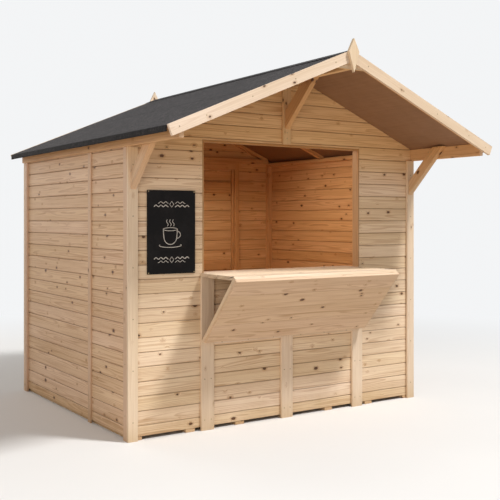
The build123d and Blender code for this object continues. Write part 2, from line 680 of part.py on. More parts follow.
def make_door():
    """The boarded leaf with its ledges, strap hinges and pull handle."""
    boards = (FRAME_Y, FRAME_Y + DOOR_BOARD_THICKNESS)
    save("door_leaf", block((DOOR_LEFT, DOOR_RIGHT), boards, (DOOR_FOOT, DOOR_TOP)))
    ledge_y = (FRAME_Y - LEDGE_BOARD_THICKNESS, FRAME_Y)
    ledge_x = (DOOR_LEFT + LEDGE_BOARD_END_GAP, DOOR_RIGHT - LEDGE_BOARD_END_GAP)
    low, high = hinge_heights()
    heights = (low, (low + high) / 2, high)
    ledges = [block(ledge_x, ledge_y, centred(height, LEDGE_BOARD_WIDTH)) for height in heights]
    save("door_ledges", *ledges)
    save("door_hinge_straps", *[hinge_strap(height) for height in (low, high)])
    save("door_hinge_plates", *[hinge_plate(height) for height in (low, high)])
    save("door_handle", pull_handle())


def make_all():
    """Write every piece of the stall."""
    os.makedirs("parts", exist_ok=True)
    make_floor()
    make_front_wall()
    make_rear_wall()
    make_side_walls()
    make_gables()
    make_posts()
    make_plates()
    make_corner_boards()
    make_front_battens()
    make_hatch_lining()
    make_counter()
    make_beams()
    make_rafters()
    make_roof_covering()
    make_bargeboards()
    make_finials()
    make_braces()
    make_sign()
    make_door_stops()
    make_door()


make_all()
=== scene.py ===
import math

import bpy
import numpy as np
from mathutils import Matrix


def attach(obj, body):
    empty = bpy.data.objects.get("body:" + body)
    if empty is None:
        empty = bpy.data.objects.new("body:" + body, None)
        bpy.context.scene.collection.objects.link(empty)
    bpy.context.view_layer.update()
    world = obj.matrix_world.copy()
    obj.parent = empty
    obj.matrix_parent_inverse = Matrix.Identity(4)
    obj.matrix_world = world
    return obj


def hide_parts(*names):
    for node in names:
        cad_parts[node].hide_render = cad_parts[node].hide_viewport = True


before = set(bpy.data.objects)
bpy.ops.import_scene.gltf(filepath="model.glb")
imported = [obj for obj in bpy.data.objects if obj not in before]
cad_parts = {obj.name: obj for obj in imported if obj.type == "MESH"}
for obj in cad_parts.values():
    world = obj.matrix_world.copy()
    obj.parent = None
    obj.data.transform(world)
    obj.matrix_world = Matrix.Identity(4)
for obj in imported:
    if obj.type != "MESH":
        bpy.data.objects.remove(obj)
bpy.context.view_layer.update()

chance = np.random.default_rng(11)

# Levels and faces of the stall, in metres, X to the right, Y to the back and Z up
TRIM_X, CLADDING_X, FRAME_X, INNER_X = 1.230, 1.212, 1.193, 1.148
TRIM_Y, CLADDING_Y, FRAME_Y, INNER_Y = 0.980, 0.962, 0.943, 0.898
WALL_FOOT, WALL_HEIGHT, GABLE_FOOT = 0.022, 1.852, 1.923
BEARER_TOP, FLOOR_TOP, SOLE_TOP = 0.045, 0.064, 0.109
TIMBER, BOARD_THICKNESS, STRIP = 0.045, 0.019, 0.010
SLOPE_ANGLE = math.radians(22.75)
SLOPE = math.tan(SLOPE_ANGLE)
UPRIGHT = 1 / math.cos(SLOPE_ANGLE)
DECK_UNDERSIDE = WALL_HEIGHT + 0.090 + CLADDING_X * SLOPE
DECK_TOP = DECK_UNDERSIDE + 0.018 * UPRIGHT
RIDGE_TOP = DECK_TOP + 0.0035 * UPRIGHT
RAFTER_UNDERSIDE = DECK_UNDERSIDE - 0.028 * UPRIGHT
RIDGE_BEAM_FOOT = DECK_UNDERSIDE - 0.097
HALF_BEAM = 0.0225
EAVE_X, FELT_LIP = 1.3205, 0.038
ROOF_FRONT, DECK_FRONT, DECK_REAR, ROOF_REAR = -1.681, -1.661, 1.021, 1.041
HATCH = 0.682
SHELF_TOP, SHELF_FOOT = 1.040, 1.015
COUNTER = (-0.700, 0.670)
BATTEN_X = (-0.649, 0.0, 0.649)
JOINT_Y = -0.358
DOORWAY, DOORWAY_FOOT, DOORWAY_TOP = (-0.025, 0.765), 0.067, 1.877
LEAF, LEAF_FOOT, LEAF_TOP = (-0.020, 0.760), 0.072, 1.872
LEDGE_HEIGHTS = (LEAF_FOOT + 0.180, (LEAF_FOOT + LEAF_TOP) / 2, LEAF_TOP - 0.180)
END_COURSES, SIDE_COURSES = (-0.0033, 0.0925), (0.084, 0.0928)
# The arris taken off a timber's corners, and the hair's breadth left between pieces that meet
ARRIS, HAIR = 0.0016, 0.0005

SIDES = ((-1, "left"), (1, "right"))
FRONTWARD, REARWARD, UPWARD = (0, -1, 0), (0, 1, 0), (0, 0, 1)
ALONG_X = np.array([(1, 0, 0), (0, 0, 1), (0, 1, 0)], float)
ALONG_Y = np.array([(0, 1, 0), (0, 0, 1), (1, 0, 0)], float)
ALONG_Z = np.array([(0, 0, 1), (1, 0, 0), (0, 1, 0)], float)
FLAT_Y = np.array([(0, 1, 0), (1, 0, 0), (0, 0, 1)], float)


def eased(outline, cut):
    """Each corner of a closed outline becomes two points, each at the given distance along its own edge."""
    points = np.asarray(outline, float)
    before = np.roll(points, 1, 0) - points
    after = np.roll(points, -1, 0) - points
    before *= cut / np.linalg.norm(before, axis=1, keepdims=True)
    after *= cut / np.linalg.norm(after, axis=1, keepdims=True)
    return np.stack([points + before, points + after], 1).reshape(-1, 2)


def rectangle(low, high, cut=ARRIS):
    """An eased rectangle between two corners (across, through)."""
    (a0, b0), (a1, b1) = low, high
    return eased([(a0, b0), (a1, b0), (a1, b1), (a0, b1)], cut)


def carried(section, start, finish, axes=ALONG_X, origin=(0, 0, 0), ease=0.0012, order=None, joint_shade=0.0):
    """A section carried along a straight line: point(u, v) = origin + s(u, v) * along + a(u) * across + b(u) * through.

    The distance s runs from start(u) to finish(u), which may differ over the section where an end is cut askew.
    The first and last ring are drawn in towards the section's middle, which eases the arrises of both ends.
    The grain vector of a point is (along, wide, thin) less the pith of the log, which lies a little outside the board.
    The joint shade value is 1 in the depth of a joint, where the material paints shade, and 0 on the open faces.
    """
    section = np.asarray(section, float)
    count = len(section)
    start, finish = np.broadcast_to(start, count), np.broadcast_to(finish, count)
    middle = section.mean(0)
    reach = np.linalg.norm(section - middle, axis=1, keepdims=True)
    drawn_in = section - (section - middle) / reach * ease
    rings = np.stack([drawn_in, section, section, drawn_in])
    along = np.stack([start, start + ease, finish - ease, finish])
    local = np.concatenate([along[..., None], rings], 2).reshape(-1, 3)
    points = local @ axes + origin
    first = (np.arange(3)[:, None] * count + np.arange(count)).ravel()
    following = (np.arange(3)[:, None] * count + (np.arange(count) + 1) % count).ravel()
    sides = np.stack([first, following, following + count, first + count], 1)
    caps = [np.arange(count)[::-1], np.arange(count) + 3 * count]
    faces = sides.tolist() + [cap.tolist() for cap in caps]
    a, b = section.T
    if (a * np.roll(b, -1) - b * np.roll(a, -1)).sum() * np.linalg.det(axes) < 0:
        faces = [face[::-1] for face in faces]
    wide = int(np.ptp(section[:, 0]) < np.ptp(section[:, 1]))
    grain = local[:, list(order or (0, 1 + wide, 2 - wide))].copy()
    spread = np.ptp(grain, axis=0)
    centre = (grain.max(0) + grain.min(0)) / 2
    grain[:, 0] += chance.uniform(0, 30)
    grain[:, 1] -= centre[1] + chance.uniform(-0.45, 0.45) * spread[1]
    grain[:, 2] -= centre[2] + chance.choice((-1, 1)) * (spread[2] / 2 + chance.uniform(0.008, 0.055))
    return {"points": points, "faces": faces, "grain": grain, "tone": np.full(len(points), chance.uniform(0, 1)),
            "joint_shade": np.tile(np.broadcast_to(joint_shade, count), 4)}


def both(low, high):
    """A span and its mirror image, the left or front one first."""
    return (-high, -low), (low, high)


def about(middle, half):
    """The span that reaches equally far on both sides of a middle."""
    return middle - half, middle + half


def sticks(axes, xs, ys, zs, cut=ARRIS):
    """Eased straight timbers, one for each combination of the given spans in X, Y and Z."""
    shapes = []
    for spans in ((x, y, z) for x in xs for y in ys for z in zs):
        along, across, through = [spans[index] for index in np.argmax(np.abs(axes), axis=1)]
        shapes.append(carried(rectangle((across[0], through[0]), (across[1], through[1]), cut), *along, axes))
    return shapes


def placed(name, data):
    """A new object in the scene, at the origin."""
    thing = bpy.data.objects.new(name, data)
    bpy.context.scene.collection.objects.link(thing)
    return thing


def piece(name, shapes, material, nodes=(), body="stall", smooth=False):
    """Joins shapes into one mesh, with their grain, tone and painted joint shade, and gives it to a body in place of
    its nodes.
    """
    counts = np.cumsum([0] + [len(shape["points"]) for shape in shapes])
    points = np.concatenate([shape["points"] for shape in shapes])
    faces = [[corner + int(step) for corner in face] for shape, step in zip(shapes, counts) for face in shape["faces"]]
    mesh = bpy.data.meshes.new(name)
    mesh.from_pydata(points.tolist(), [], faces)
    if "grain" in shapes[0]:
        for key in ("grain", "tone", "joint_shade"):
            kind, field = ("FLOAT_VECTOR", "vector") if key == "grain" else ("FLOAT", "value")
            values = np.concatenate([shape[key] for shape in shapes]).astype(np.float32)
            mesh.attributes.new(key, kind, "POINT").data.foreach_set(field, values.ravel())
    mesh.materials.append(material)
    mesh.polygons.foreach_set("use_smooth", np.full(len(mesh.polygons), smooth))
    thing = placed(name, mesh)
    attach(thing, body)
    if nodes:
        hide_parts(*nodes)
    return thing


# Materials

class Nodes:
    """A node tree with short ways to add to it. Add gives back the new node, feed and relief link to a shader,
    and the others give back the new node's output.
    """

    def __init__(self, tree):
        self.tree = tree

    def add(self, kind, settings=None, **inputs):
        """Adds a node, sets its properties, and fills its inputs by name or number from values or other sockets."""
        node = self.tree.nodes.new(kind)
        for key, value in (settings or {}).items():
            setattr(node, key, value)
        names = [socket.name for socket in node.inputs]
        for key, value in inputs.items():
            index = int(key[1:]) if key[1:].isdigit() else names.index(key.replace("_", " "))
            if isinstance(value, bpy.types.NodeSocket):
                self.tree.links.new(value, node.inputs[index])
            else:
                node.inputs[index].default_value = value
        return node

    def feed(self, shader, colour, roughness=None):
        """Links the base colour and the roughness of a shader."""
        self.tree.links.new(colour, shader.inputs["Base Color"])
        if roughness is not None:
            self.tree.links.new(roughness, shader.inputs["Roughness"])

    def maths(self, operation, first, second=0.0, third=0.0, clamp=False):
        """One step of arithmetic on sockets or numbers."""
        settings = {"operation": operation, "use_clamp": clamp}
        return self.add("ShaderNodeMath", settings, i0=first, i1=second, i2=third).outputs[0]

    def times(self, first, second, clamp=False):
        """first * second."""
        return self.maths("MULTIPLY", first, second, clamp=clamp)

    def less(self, first, second, clamp=False):
        """first - second."""
        return self.maths("SUBTRACT", first, second, clamp=clamp)

    def scaled(self, value, factor, offset, clamp=False):
        """value * factor + offset."""
        return self.maths("MULTIPLY_ADD", value, factor, offset, clamp)

    def vector(self, operation, first, second=(0, 0, 0)):
        """One step of arithmetic on vectors. A length comes out as a number."""
        node = self.add("ShaderNodeVectorMath", {"operation": operation}, i0=first, i1=second)
        return node.outputs["Value" if operation == "LENGTH" else "Vector"]

    def blend(self, factor, first, second, kind="MIX"):
        """Mixes two colours by a factor."""
        settings = {"data_type": "RGBA", "blend_type": kind}
        return self.add("ShaderNodeMix", settings, i0=factor, i6=first, i7=second).outputs[2]

    def shaded(self, colour, red, green, blue):
        """Multiplies a colour by three factors."""
        factors = self.add("ShaderNodeCombineColor", i0=red, i1=green, i2=blue)
        return self.blend(1.0, colour, factors.outputs[0], "MULTIPLY")

    def ramp(self, value, low, high):
        """A smooth step from 0 at low to 1 at high."""
        settings = {"interpolation_type": "SMOOTHSTEP"}
        return self.add("ShaderNodeMapRange", settings, Value=value, From_Min=low, From_Max=high).outputs[0]

    def noise(self, vector, stretch, detail, roughness=0.5, scale=1.0):
        """Layered noise on a stretched vector."""
        space = self.add("ShaderNodeMapping", Vector=vector, Scale=stretch).outputs[0]
        return self.add("ShaderNodeTexNoise", Vector=space, Scale=scale, Detail=detail, Roughness=roughness).outputs[0]

    def place(self):
        """Object coordinates, which are the stall's own metres."""
        return self.add("ShaderNodeTexCoord").outputs["Object"]

    def relief(self, shader, height, strength, distance):
        """Gives a shader a fine uneven surface."""
        bump = self.add("ShaderNodeBump", Strength=strength, Distance=distance, Height=height).outputs[0]
        self.tree.links.new(bump, shader.inputs["Normal"])


def new_material(name, roughness, gloss=0.5):
    """A new material, its nodes and its shader."""
    material = bpy.data.materials.new(name)
    material.use_nodes = True
    shader = material.node_tree.nodes["Principled BSDF"]
    shader.inputs["Roughness"].default_value = roughness
    shader.inputs["Specular IOR Level"].default_value = gloss
    return material, Nodes(material.node_tree), shader


def knots(n, grain, share):
    """Round knots in a share of the cells of a lattice that is long along the grain.

    Gives the distance outside a knot's rim, the knot itself and the halo of bent grain round it. The distance is
    |grain vector - the cell's point|, shorter along the grain, plus a fine wobble, less the knot's own radius.
    """
    stretch = (4.4, 21.0, 21.0)
    cells = n.vector("MULTIPLY", grain, stretch)
    cell = n.add("ShaderNodeTexVoronoi", {"feature": "F1"}, Vector=cells, Scale=1.0, Randomness=0.75).outputs
    away = n.vector("SUBTRACT", cells, cell["Position"])
    distance = n.vector("LENGTH", n.vector("MULTIPLY", away, (0.62 / stretch[0], 1 / stretch[1], 1 / stretch[2])))
    lot = n.add("ShaderNodeSeparateColor", Color=cell["Color"]).outputs
    wobble = n.add("ShaderNodeTexNoise", Vector=grain, Scale=95.0, Detail=2.0).outputs["Fac"]
    near = n.scaled(n.less(wobble, 0.5), 0.006, distance)
    present = n.maths("LESS_THAN", lot[0], share)
    radius = n.scaled(n.maths("POWER", lot[1], 2.0), 0.0070, 0.0050)
    inset = n.less(near, radius)
    knot = n.times(n.less(1.0, n.ramp(inset, -0.0020, 0.0012)), present, clamp=True)
    return inset, knot, n.times(n.less(1.0, n.ramp(inset, 0.0, 0.012)), present)


def painted_shade_mask(n, x, y, z, shade_room):
    """Painted shade: 1 under the overhanging roof and, where wanted, all over the room, else 0, with a soft edge below
    the eaves; there the wood is painted deeper amber for shade and warm bounced light.
    """
    shade_foot, shade_top, front_skin = 1.60, 1.98, -0.950
    width = n.maths("ABSOLUTE", x)
    under_roof = n.maths("COMPARE", y, (DECK_FRONT + DECK_REAR) / 2, (DECK_REAR - DECK_FRONT) / 2 - HAIR)
    outside = n.maths("MAXIMUM", n.maths("LESS_THAN", y, front_skin), n.maths("GREATER_THAN", width, TRIM_X + 0.001))
    roof_shade = n.times(n.times(under_roof, outside), n.ramp(z, shade_foot, shade_top))
    if not shade_room:
        return roof_shade
    depth = n.maths("DIVIDE", n.maths("ABSOLUTE", y), (FRAME_Y + CLADDING_Y) / 2)
    reach = n.maths("MAXIMUM", n.maths("DIVIDE", width, (FRAME_X + CLADDING_X) / 2), depth)
    room = n.times(n.maths("LESS_THAN", reach, 1.0), n.maths("GREATER_THAN", z, BEARER_TOP + 0.001))
    return n.maths("MAXIMUM", roof_shade, room)


def wood(name, early, late, knot_share=0.62, contrast=0.9, tone_spread=0.09, shade_room=True):
    """Softwood: growth rings round a pith outside the board, streaks along the grain, and round knots that bend them.

    Ring value = distance from the pith divided by the ring gap, plus a slow drift along the board.
    The wood is splashed near the ground. Under the overhanging roof and in the room its colour is painted deeper and
    more amber, as painted shade and warm bounced light.
    """
    ring_gap, roughness = 0.0055, 0.62
    material, n, shader = new_material(name, roughness, 0.32)
    grain = n.add("ShaderNodeAttribute", {"attribute_name": "grain"}).outputs["Vector"]
    tone, joint_shade = [n.add("ShaderNodeAttribute", {"attribute_name": key}).outputs["Fac"] for key in ("tone", "joint_shade")]
    across, through = n.add("ShaderNodeSeparateXYZ", Vector=grain).outputs[1:3]
    inset, knot, halo = knots(n, grain, knot_share)

    drift = n.noise(grain, (1.3, 11.0, 11.0), 2.0)
    pith = n.vector("LENGTH", n.add("ShaderNodeCombineXYZ", X=0.0, Y=across, Z=through).outputs[0])
    depth = n.scaled(drift, 0.030, n.scaled(halo, 0.008, pith))
    phase = n.maths("FRACT", n.maths("DIVIDE", depth, ring_gap))
    ring = n.times(n.ramp(phase, 0.25, 0.86), n.less(1.0, n.ramp(phase, 0.88, 1.0)))

    streak = n.noise(grain, (2.2, 150.0, 150.0), 4.0, 0.62)
    medium = n.noise(grain, (1.6, 45.0, 45.0), 3.0, 0.6)
    cloud = n.noise(grain, (1.1, 7.0, 7.0), 3.0)
    amount = n.times(ring, contrast * 0.6)
    amount = n.scaled(n.less(streak, 0.5), 1.5 * contrast, amount)
    amount = n.scaled(n.less(medium, 0.5), 1.4 * contrast, amount)
    amount = n.scaled(halo, 0.55, amount, clamp=True)
    colour = n.blend(amount, (*early, 1), (*late, 1))
    patch = n.scaled(n.less(cloud, 0.5), 0.30, 1.0)
    board = n.scaled(n.less(tone, 0.5), tone_spread, patch)
    warm = n.scaled(n.maths("FRACT", n.times(tone, 7.3)), 0.07, 0.965)

    place = n.place()
    x, y, z = n.add("ShaderNodeSeparateXYZ", Vector=place).outputs
    splash = n.scaled(n.noise(place, (9.0, 9.0, 3.0), 3.0), 0.16, z)
    board = n.times(board, n.scaled(n.ramp(splash, 0.05, 0.26), 0.16, 0.84))
    cooler = n.times(n.times(board, board), warm)
    # Painted shade: under the roof and in the room the colour is made deeper and more amber, for shade and warm bounced
    # light.
    painted_amber_shade = painted_shade_mask(n, x, y, z, shade_room)
    colour = n.shaded(colour, *[n.scaled(painted_amber_shade, keep - 1, 1.0) for keep in (0.93, 0.76, 0.52)])
    colour = n.shaded(colour, board, n.maths("POWER", board, 1.3), cooler)
    # Painted shade: dark brown blended into the depth of each joint by its joint shade value.
    colour = n.blend(n.times(joint_shade, 0.34), colour, (0.17, 0.075, 0.035, 1))
    heart = (KNOT[0] * 2.2, KNOT[1] * 2.0, KNOT[2] * 1.8, 1)
    knot_colour = n.blend(n.ramp(inset, -0.0045, -0.0005), heart, (*KNOT, 1))
    colour = n.blend(n.times(knot, 0.94), colour, knot_colour)
    n.feed(shader, colour, n.scaled(knot, -0.14, n.scaled(ring, -0.10, roughness + 0.05)))
    n.relief(shader, n.scaled(knot, -0.6, n.scaled(ring, 0.5, streak)), 0.4, 0.0007)
    return material


def sheet_wood(name, base, dark):
    """Brown coated sheet: faint long streaks and a soft mottle on Object coordinates, along the slope."""
    roughness = 0.7
    material, n, shader = new_material(name, roughness)
    place = n.place()
    streak = n.noise(place, (55.0, 2.0, 55.0), 4.0, 0.6)
    mottle = n.noise(place, (9.0, 9.0, 9.0), 5.0, 0.6)
    fine = n.noise(place, (240.0, 240.0, 240.0), 3.0)
    amount = n.less(n.scaled(streak, 0.75, n.times(mottle, 0.55)), 0.25, clamp=True)
    n.feed(shader, n.blend(amount, (*base, 1), (*dark, 1)), n.scaled(mottle, 0.2, roughness - 0.1))
    n.relief(shader, n.maths("ADD", streak, fine), 0.3, 0.0006)
    return material


def mineral_felt(name, base, light, dark):
    """Roofing felt: crushed slate grains a few millimetres across, pale and dark, pressed in bitumen, with soft wear.

    Past the eave the lip is made darker.
    """
    material, n, shader = new_material(name, 0.9, 0.25)
    place = n.place()
    grains = n.add("ShaderNodeTexVoronoi", {"feature": "F1"}, Vector=place, Scale=300.0, Randomness=1.0).outputs
    speck = n.add("ShaderNodeSeparateColor", Color=grains["Color"]).outputs[0]
    coarse = n.noise(place, (85.0, 85.0, 85.0), 5.0, 0.72)
    blotch = n.noise(place, (30.0, 30.0, 30.0), 3.0, 0.6)
    wear = n.noise(place, (2.0, 5.5, 2.0), 6.0, 0.6)
    pale = n.times(n.ramp(speck, 0.45, 0.95), n.ramp(coarse, 0.40, 0.62))
    colour = n.blend(pale, (*base, 1), (*light, 1))
    colour = n.blend(n.times(n.ramp(coarse, 0.54, 0.36), 0.75), colour, (*dark, 1))
    shade = n.scaled(wear, 0.6, n.scaled(blotch, 3.4, -1.0))
    x = n.add("ShaderNodeSeparateXYZ", Vector=place).outputs[0]
    lip = n.maths("GREATER_THAN", n.maths("ABSOLUTE", x), EAVE_X - 0.0035)
    shade = n.times(n.maths("MAXIMUM", shade, 0.15), n.scaled(lip, -0.55, 1.0))
    n.feed(shader, n.shaded(colour, shade, shade, shade))
    n.relief(shader, n.scaled(grains["Distance"], -0.8, coarse), 0.6, 0.0018)
    return material


def painted(name, base, worn, roughness, metallic=0.0, scale=60.0, gloss=0.5):
    """Paint or metal with soft wear: two close tones mixed by layered noise, and a fine uneven surface."""
    material, n, shader = new_material(name, roughness, gloss)
    shader.inputs["Metallic"].default_value = metallic
    place = n.place()
    broad = n.noise(place, (1, 1, 1), 6.0, 0.65, scale * 0.15)
    fine = n.noise(place, (1, 1, 1), 3.0, 0.5, scale * 6)
    colour = n.blend(n.ramp(broad, 0.42, 0.72), (*base, 1), (*worn, 1))
    n.feed(shader, colour, n.scaled(broad, 0.25, roughness - 0.12))
    n.relief(shader, n.maths("ADD", fine, broad), 0.4, 0.0003)
    return material


KNOT = (0.046, 0.018, 0.008)
planed = {"knot_share": 0.35, "shade_room": False}
pine = wood("pine_siding", (0.87, 0.69, 0.49), (0.58, 0.365, 0.205))
# Painted shade: a darker, warmer copy of the pine for the side walls, which stand in shade.
shaded_side_pine = wood("pine_side_siding_painted_shade", (0.80, 0.575, 0.38), (0.51, 0.285, 0.145))
# Painted shade: a darker copy of the pine for the flap's face, which faces down and lies in shade.
shaded_flap_wood = wood("pine_flap_painted_shade", (0.78, 0.585, 0.405), (0.51, 0.31, 0.17), tone_spread=0.06)
trim_wood = wood("planed_trim", (0.82, 0.665, 0.50), (0.60, 0.42, 0.27), contrast=0.5, tone_spread=0.10, **planed)
# Painted shade: a darker copy of the planed trim for the strips on the side walls, which stand in shade.
shaded_side_trim = wood("planed_side_trim_painted_shade", (0.72, 0.515, 0.38), (0.52, 0.325, 0.20), contrast=0.5, tone_spread=0.10, **planed)
shelf_wood = wood("planed_shelf", (0.76, 0.62, 0.465), (0.55, 0.385, 0.245), contrast=0.6, **planed)
frame_wood = wood("frame_timber", (0.78, 0.565, 0.37), (0.52, 0.31, 0.155), 0.45, 0.75)
# Painted shade: darker, warmer planed wood for the eave beams and braces, which lie in shade under the roof.
shaded_beam_wood = wood("planed_beams_painted_shade", (0.74, 0.53, 0.345), (0.465, 0.26, 0.13), contrast=0.7, **planed)
# Painted shade: much darker, amber planed wood for the hatch linings, which lie in the room's shade.
shaded_lining_wood = wood("planed_linings_painted_shade", (0.56, 0.355, 0.19), (0.37, 0.20, 0.09), contrast=0.7, **planed)
soffit = sheet_wood("brown_sheet", (0.31, 0.165, 0.082), (0.18, 0.088, 0.040))
felt = mineral_felt("mineral_felt", (0.022, 0.0195, 0.0198), (0.112, 0.100, 0.101), (0.006, 0.005, 0.007))
sign_paint = painted("sign_black", (0.0075, 0.007, 0.0075), (0.016, 0.015, 0.016), 0.6, gloss=0.12)
chalk = painted("white_chalk", (0.74, 0.73, 0.70), (0.34, 0.335, 0.32), 0.95, scale=900.0, gloss=0.1)
iron = painted("black_iron", (0.020, 0.020, 0.021), (0.045, 0.043, 0.041), 0.42, metallic=0.4)
zinc = painted("zinc_screw", (0.46, 0.36, 0.20), (0.26, 0.20, 0.12), 0.42, metallic=0.8)


# Boards

def siding_section(low, high, face, tongue, groove, gap):
    """A tongued and grooved board in height and depth: a V where two outer faces meet, a smaller one inside.

    The gap is left only beside a tongue or over a groove, so an edge without either closes. Depth runs from the
    outer face towards the room. The third value of a point is its joint shade: 1 where shade is painted in a joint.
    """
    thick, outer, inner = BOARD_THICKNESS, 0.0034, 0.0016
    foot, head = low + groove * gap / 2, high - tongue * gap / 2
    tip, bottom = head + 0.0046, foot + 0.0052
    points = [(foot, outer, 1), (foot + outer, 0, 0), (head - outer, 0, 0), (head, outer, 1)]
    if tongue:
        points += [(head, 0.0070, 1), (tip, 0.0073, 1), (tip, 0.0117, 1), (head, 0.0120, 1)]
    points += [(head, thick - inner, tongue), (head - inner, thick, 0)]
    points += [(foot + inner, thick, 0), (foot, thick - inner, groove)]
    if groove:
        points += [(foot, 0.0125, 1), (bottom, 0.0125, 1), (bottom, 0.0065, 1), (foot, 0.0065, 1)]
    section = np.array(points, float)
    section[:, 1] = face - np.sign(face) * section[:, 1]
    return section[:, :2], section[:, 2]


def courses(low, high, start, pitch):
    """Lower and upper edges of the siding boards between two heights, on joints at start + n * pitch."""
    narrowest = 0.012
    joints = start + pitch * np.arange(math.floor((low - start) / pitch) + 1, math.ceil((high - start) / pitch))
    edges = [low] + [joint for joint in joints if low + narrowest < joint < high - narrowest] + [high]
    return list(zip(edges[:-1], edges[1:]))


def siding(axes, span, levels, face, more=(False, False), rule=None):
    """Boards stacked between two heights. On an end wall, slopes a millimetre under the roof deck cut them.

    A slope is at x = (deck - height) / slope. More says whether the siding goes on below and above this stack, so that
    its outer edges get a groove and a tongue.
    """
    end_wall = axes is ALONG_X
    stack = courses(*levels, *(rule or (END_COURSES if end_wall else SIDE_COURSES)))
    boards = []
    for index, (foot, head) in enumerate(stack):
        tongue, groove = index < len(stack) - 1 or more[1], index > 0 or more[0]
        section, joint_shade = siding_section(foot, head, face, tongue, groove, chance.uniform(0.0024, 0.0042))
        start, finish = span
        if end_wall:
            reach = (DECK_UNDERSIDE - 0.001 - section[:, 0]) / SLOPE
            start, finish = np.maximum(start, -reach), np.minimum(finish, reach)
        section[:, 1] -= np.sign(face) * chance.uniform(0, 0.0006)
        boards.append(carried(section, start, finish, axes, ease=0.0008, joint_shade=joint_shade))
    return boards


front, rear = -CLADDING_Y, CLADDING_Y
top_course = END_COURSES[0] + END_COURSES[1] * 21
wall_x, hatch_x, doorway_x = about(0, CLADDING_X - HAIR), about(0, HATCH - HAIR), (DOORWAY[0] + HAIR, DOORWAY[1] - HAIR)
one_board, below_gable = (9, 1), (False, True)


def beside(opening, levels, face, **options):
    """The boards on both sides of an opening or a beam in an end wall."""
    spans = ((wall_x[0], opening[0] - HAIR), (opening[1] + HAIR, wall_x[1]))
    return [board for span in spans for board in siding(ALONG_X, span, levels, face, **options)]


def gable_top(face):
    """The gable over the walls, in two halves beside the ridge beam."""
    boards = siding(ALONG_X, wall_x, (top_course, RIDGE_BEAM_FOOT), face, (True, False))
    return boards + beside(about(0, HALF_BEAM), (RIDGE_BEAM_FOOT, DECK_UNDERSIDE - 0.014), face, rule=one_board)


def boarding(name, boards, material, nodes, body="stall"):
    """Boards in place of plain panels."""
    piece(name, boards, material, nodes, body)


front_boards = beside((-HATCH, HATCH), (WALL_FOOT, top_course), front, more=below_gable)
front_boards += siding(ALONG_X, hatch_x, (GABLE_FOOT, top_course), front, below_gable, one_board)
front_nodes = ["front_wall_left", "front_wall_right", "front_gable"]
boarding("front_wall_boards", front_boards + gable_top(front), pine, front_nodes)
low_boards = siding(ALONG_X, hatch_x, (WALL_FOOT, SHELF_FOOT), front)
boarding("front_boards_below_counter", low_boards, pine, ["front_wall_below_counter"])
rear_boards = beside(DOORWAY, (WALL_FOOT, top_course), rear, more=below_gable)
rear_boards += siding(ALONG_X, doorway_x, (DOORWAY_TOP, top_course), rear, below_gable)
rear_boards += siding(ALONG_X, doorway_x, (WALL_FOOT, DOORWAY_FOOT), rear, rule=one_board)
rear_nodes = ["rear_wall_left", "rear_wall_right", "rear_wall_over_door", "rear_wall_below_door", "rear_gable"]
boarding("rear_wall_boards", rear_boards + gable_top(rear), pine, rear_nodes)
panels = ((-FRAME_Y + HAIR, JOINT_Y - 0.0015), (JOINT_Y + 0.0015, FRAME_Y - HAIR))
levels = (WALL_FOOT, DECK_UNDERSIDE - CLADDING_X * SLOPE - 0.001)
for side, name in SIDES:
    boards = [board for panel in panels for board in siding(ALONG_Y, panel, levels, side * CLADDING_X)]
    boarding(name + "_side_boards", boards, shaded_side_pine, [name + "_wall"])
boarding("door_leaf_boards", siding(ALONG_X, LEAF, (LEAF_FOOT, LEAF_TOP), rear), pine, ["door_leaf"], "door")
floor_boards = []
for low in -FRAME_Y + np.arange(20) * FRAME_Y / 10:
    section = rectangle((low + HAIR, BEARER_TOP), (low + FRAME_Y / 10 - HAIR, FLOOR_TOP), 0.0018)
    floor_boards.append(carried(section, -FRAME_X, FRAME_X, np.eye(3)))
boarding("floor_boards", floor_boards, frame_wood, ["floor_deck"])


def trim(name, shapes, node, material=trim_wood, body="stall"):
    """Planed pieces in place of a node."""
    piece(name, shapes, material, [node], body)


def timber(name, shapes, node):
    """Rough frame timbers in place of a node."""
    piece(name, shapes, frame_wood, [node])


# Trim
corner_width, batten_half, lining = 0.070, 0.049, 0.012
front_face, rear_face = both(CLADDING_Y, TRIM_Y)
outer_x, corner_x = both(CLADDING_X, TRIM_X), both(TRIM_X - corner_width, TRIM_X)
wall_z = [(0, WALL_HEIGHT)]
trim("corner_board_set", sticks(ALONG_Z, corner_x, (front_face, rear_face), wall_z), "corner_boards")
strips = sticks(ALONG_Z, outer_x, both(TRIM_Y - corner_width, CLADDING_Y), wall_z)
strips += sticks(ALONG_Z, both(CLADDING_X, CLADDING_X + STRIP), [(JOINT_Y - 0.015, JOINT_Y + 0.031)], wall_z)
trim("side_batten_set", strips, "side_battens", shaded_side_trim)
battens = sticks(ALONG_Z, [about(x, batten_half) for x in BATTEN_X], [front_face], [(0, SHELF_FOOT)])
battens += sticks(ALONG_Z, [about(0, 0.035)], [front_face], [(GABLE_FOOT, RIDGE_BEAM_FOOT)])
trim("front_batten_set", battens, "front_battens")
trim("flap_foot_strips", sticks(ALONG_X, both(batten_half, 0.600), [front_face], [(0.566, 0.5845)]), "flap_ledge")
lining_y = [(-CLADDING_Y, -INNER_Y)]
linings = sticks(ALONG_Z, both(HATCH - lining, HATCH), lining_y, [(SHELF_TOP, GABLE_FOOT - lining)])
trim("hatch_side_boards", linings, "hatch_side_linings", shaded_lining_wood)
head_lining = sticks(ALONG_X, [(-HATCH, HATCH)], lining_y, [(GABLE_FOOT - lining, GABLE_FOOT)])
trim("hatch_head_board", head_lining, "hatch_head_lining", shaded_lining_wood)

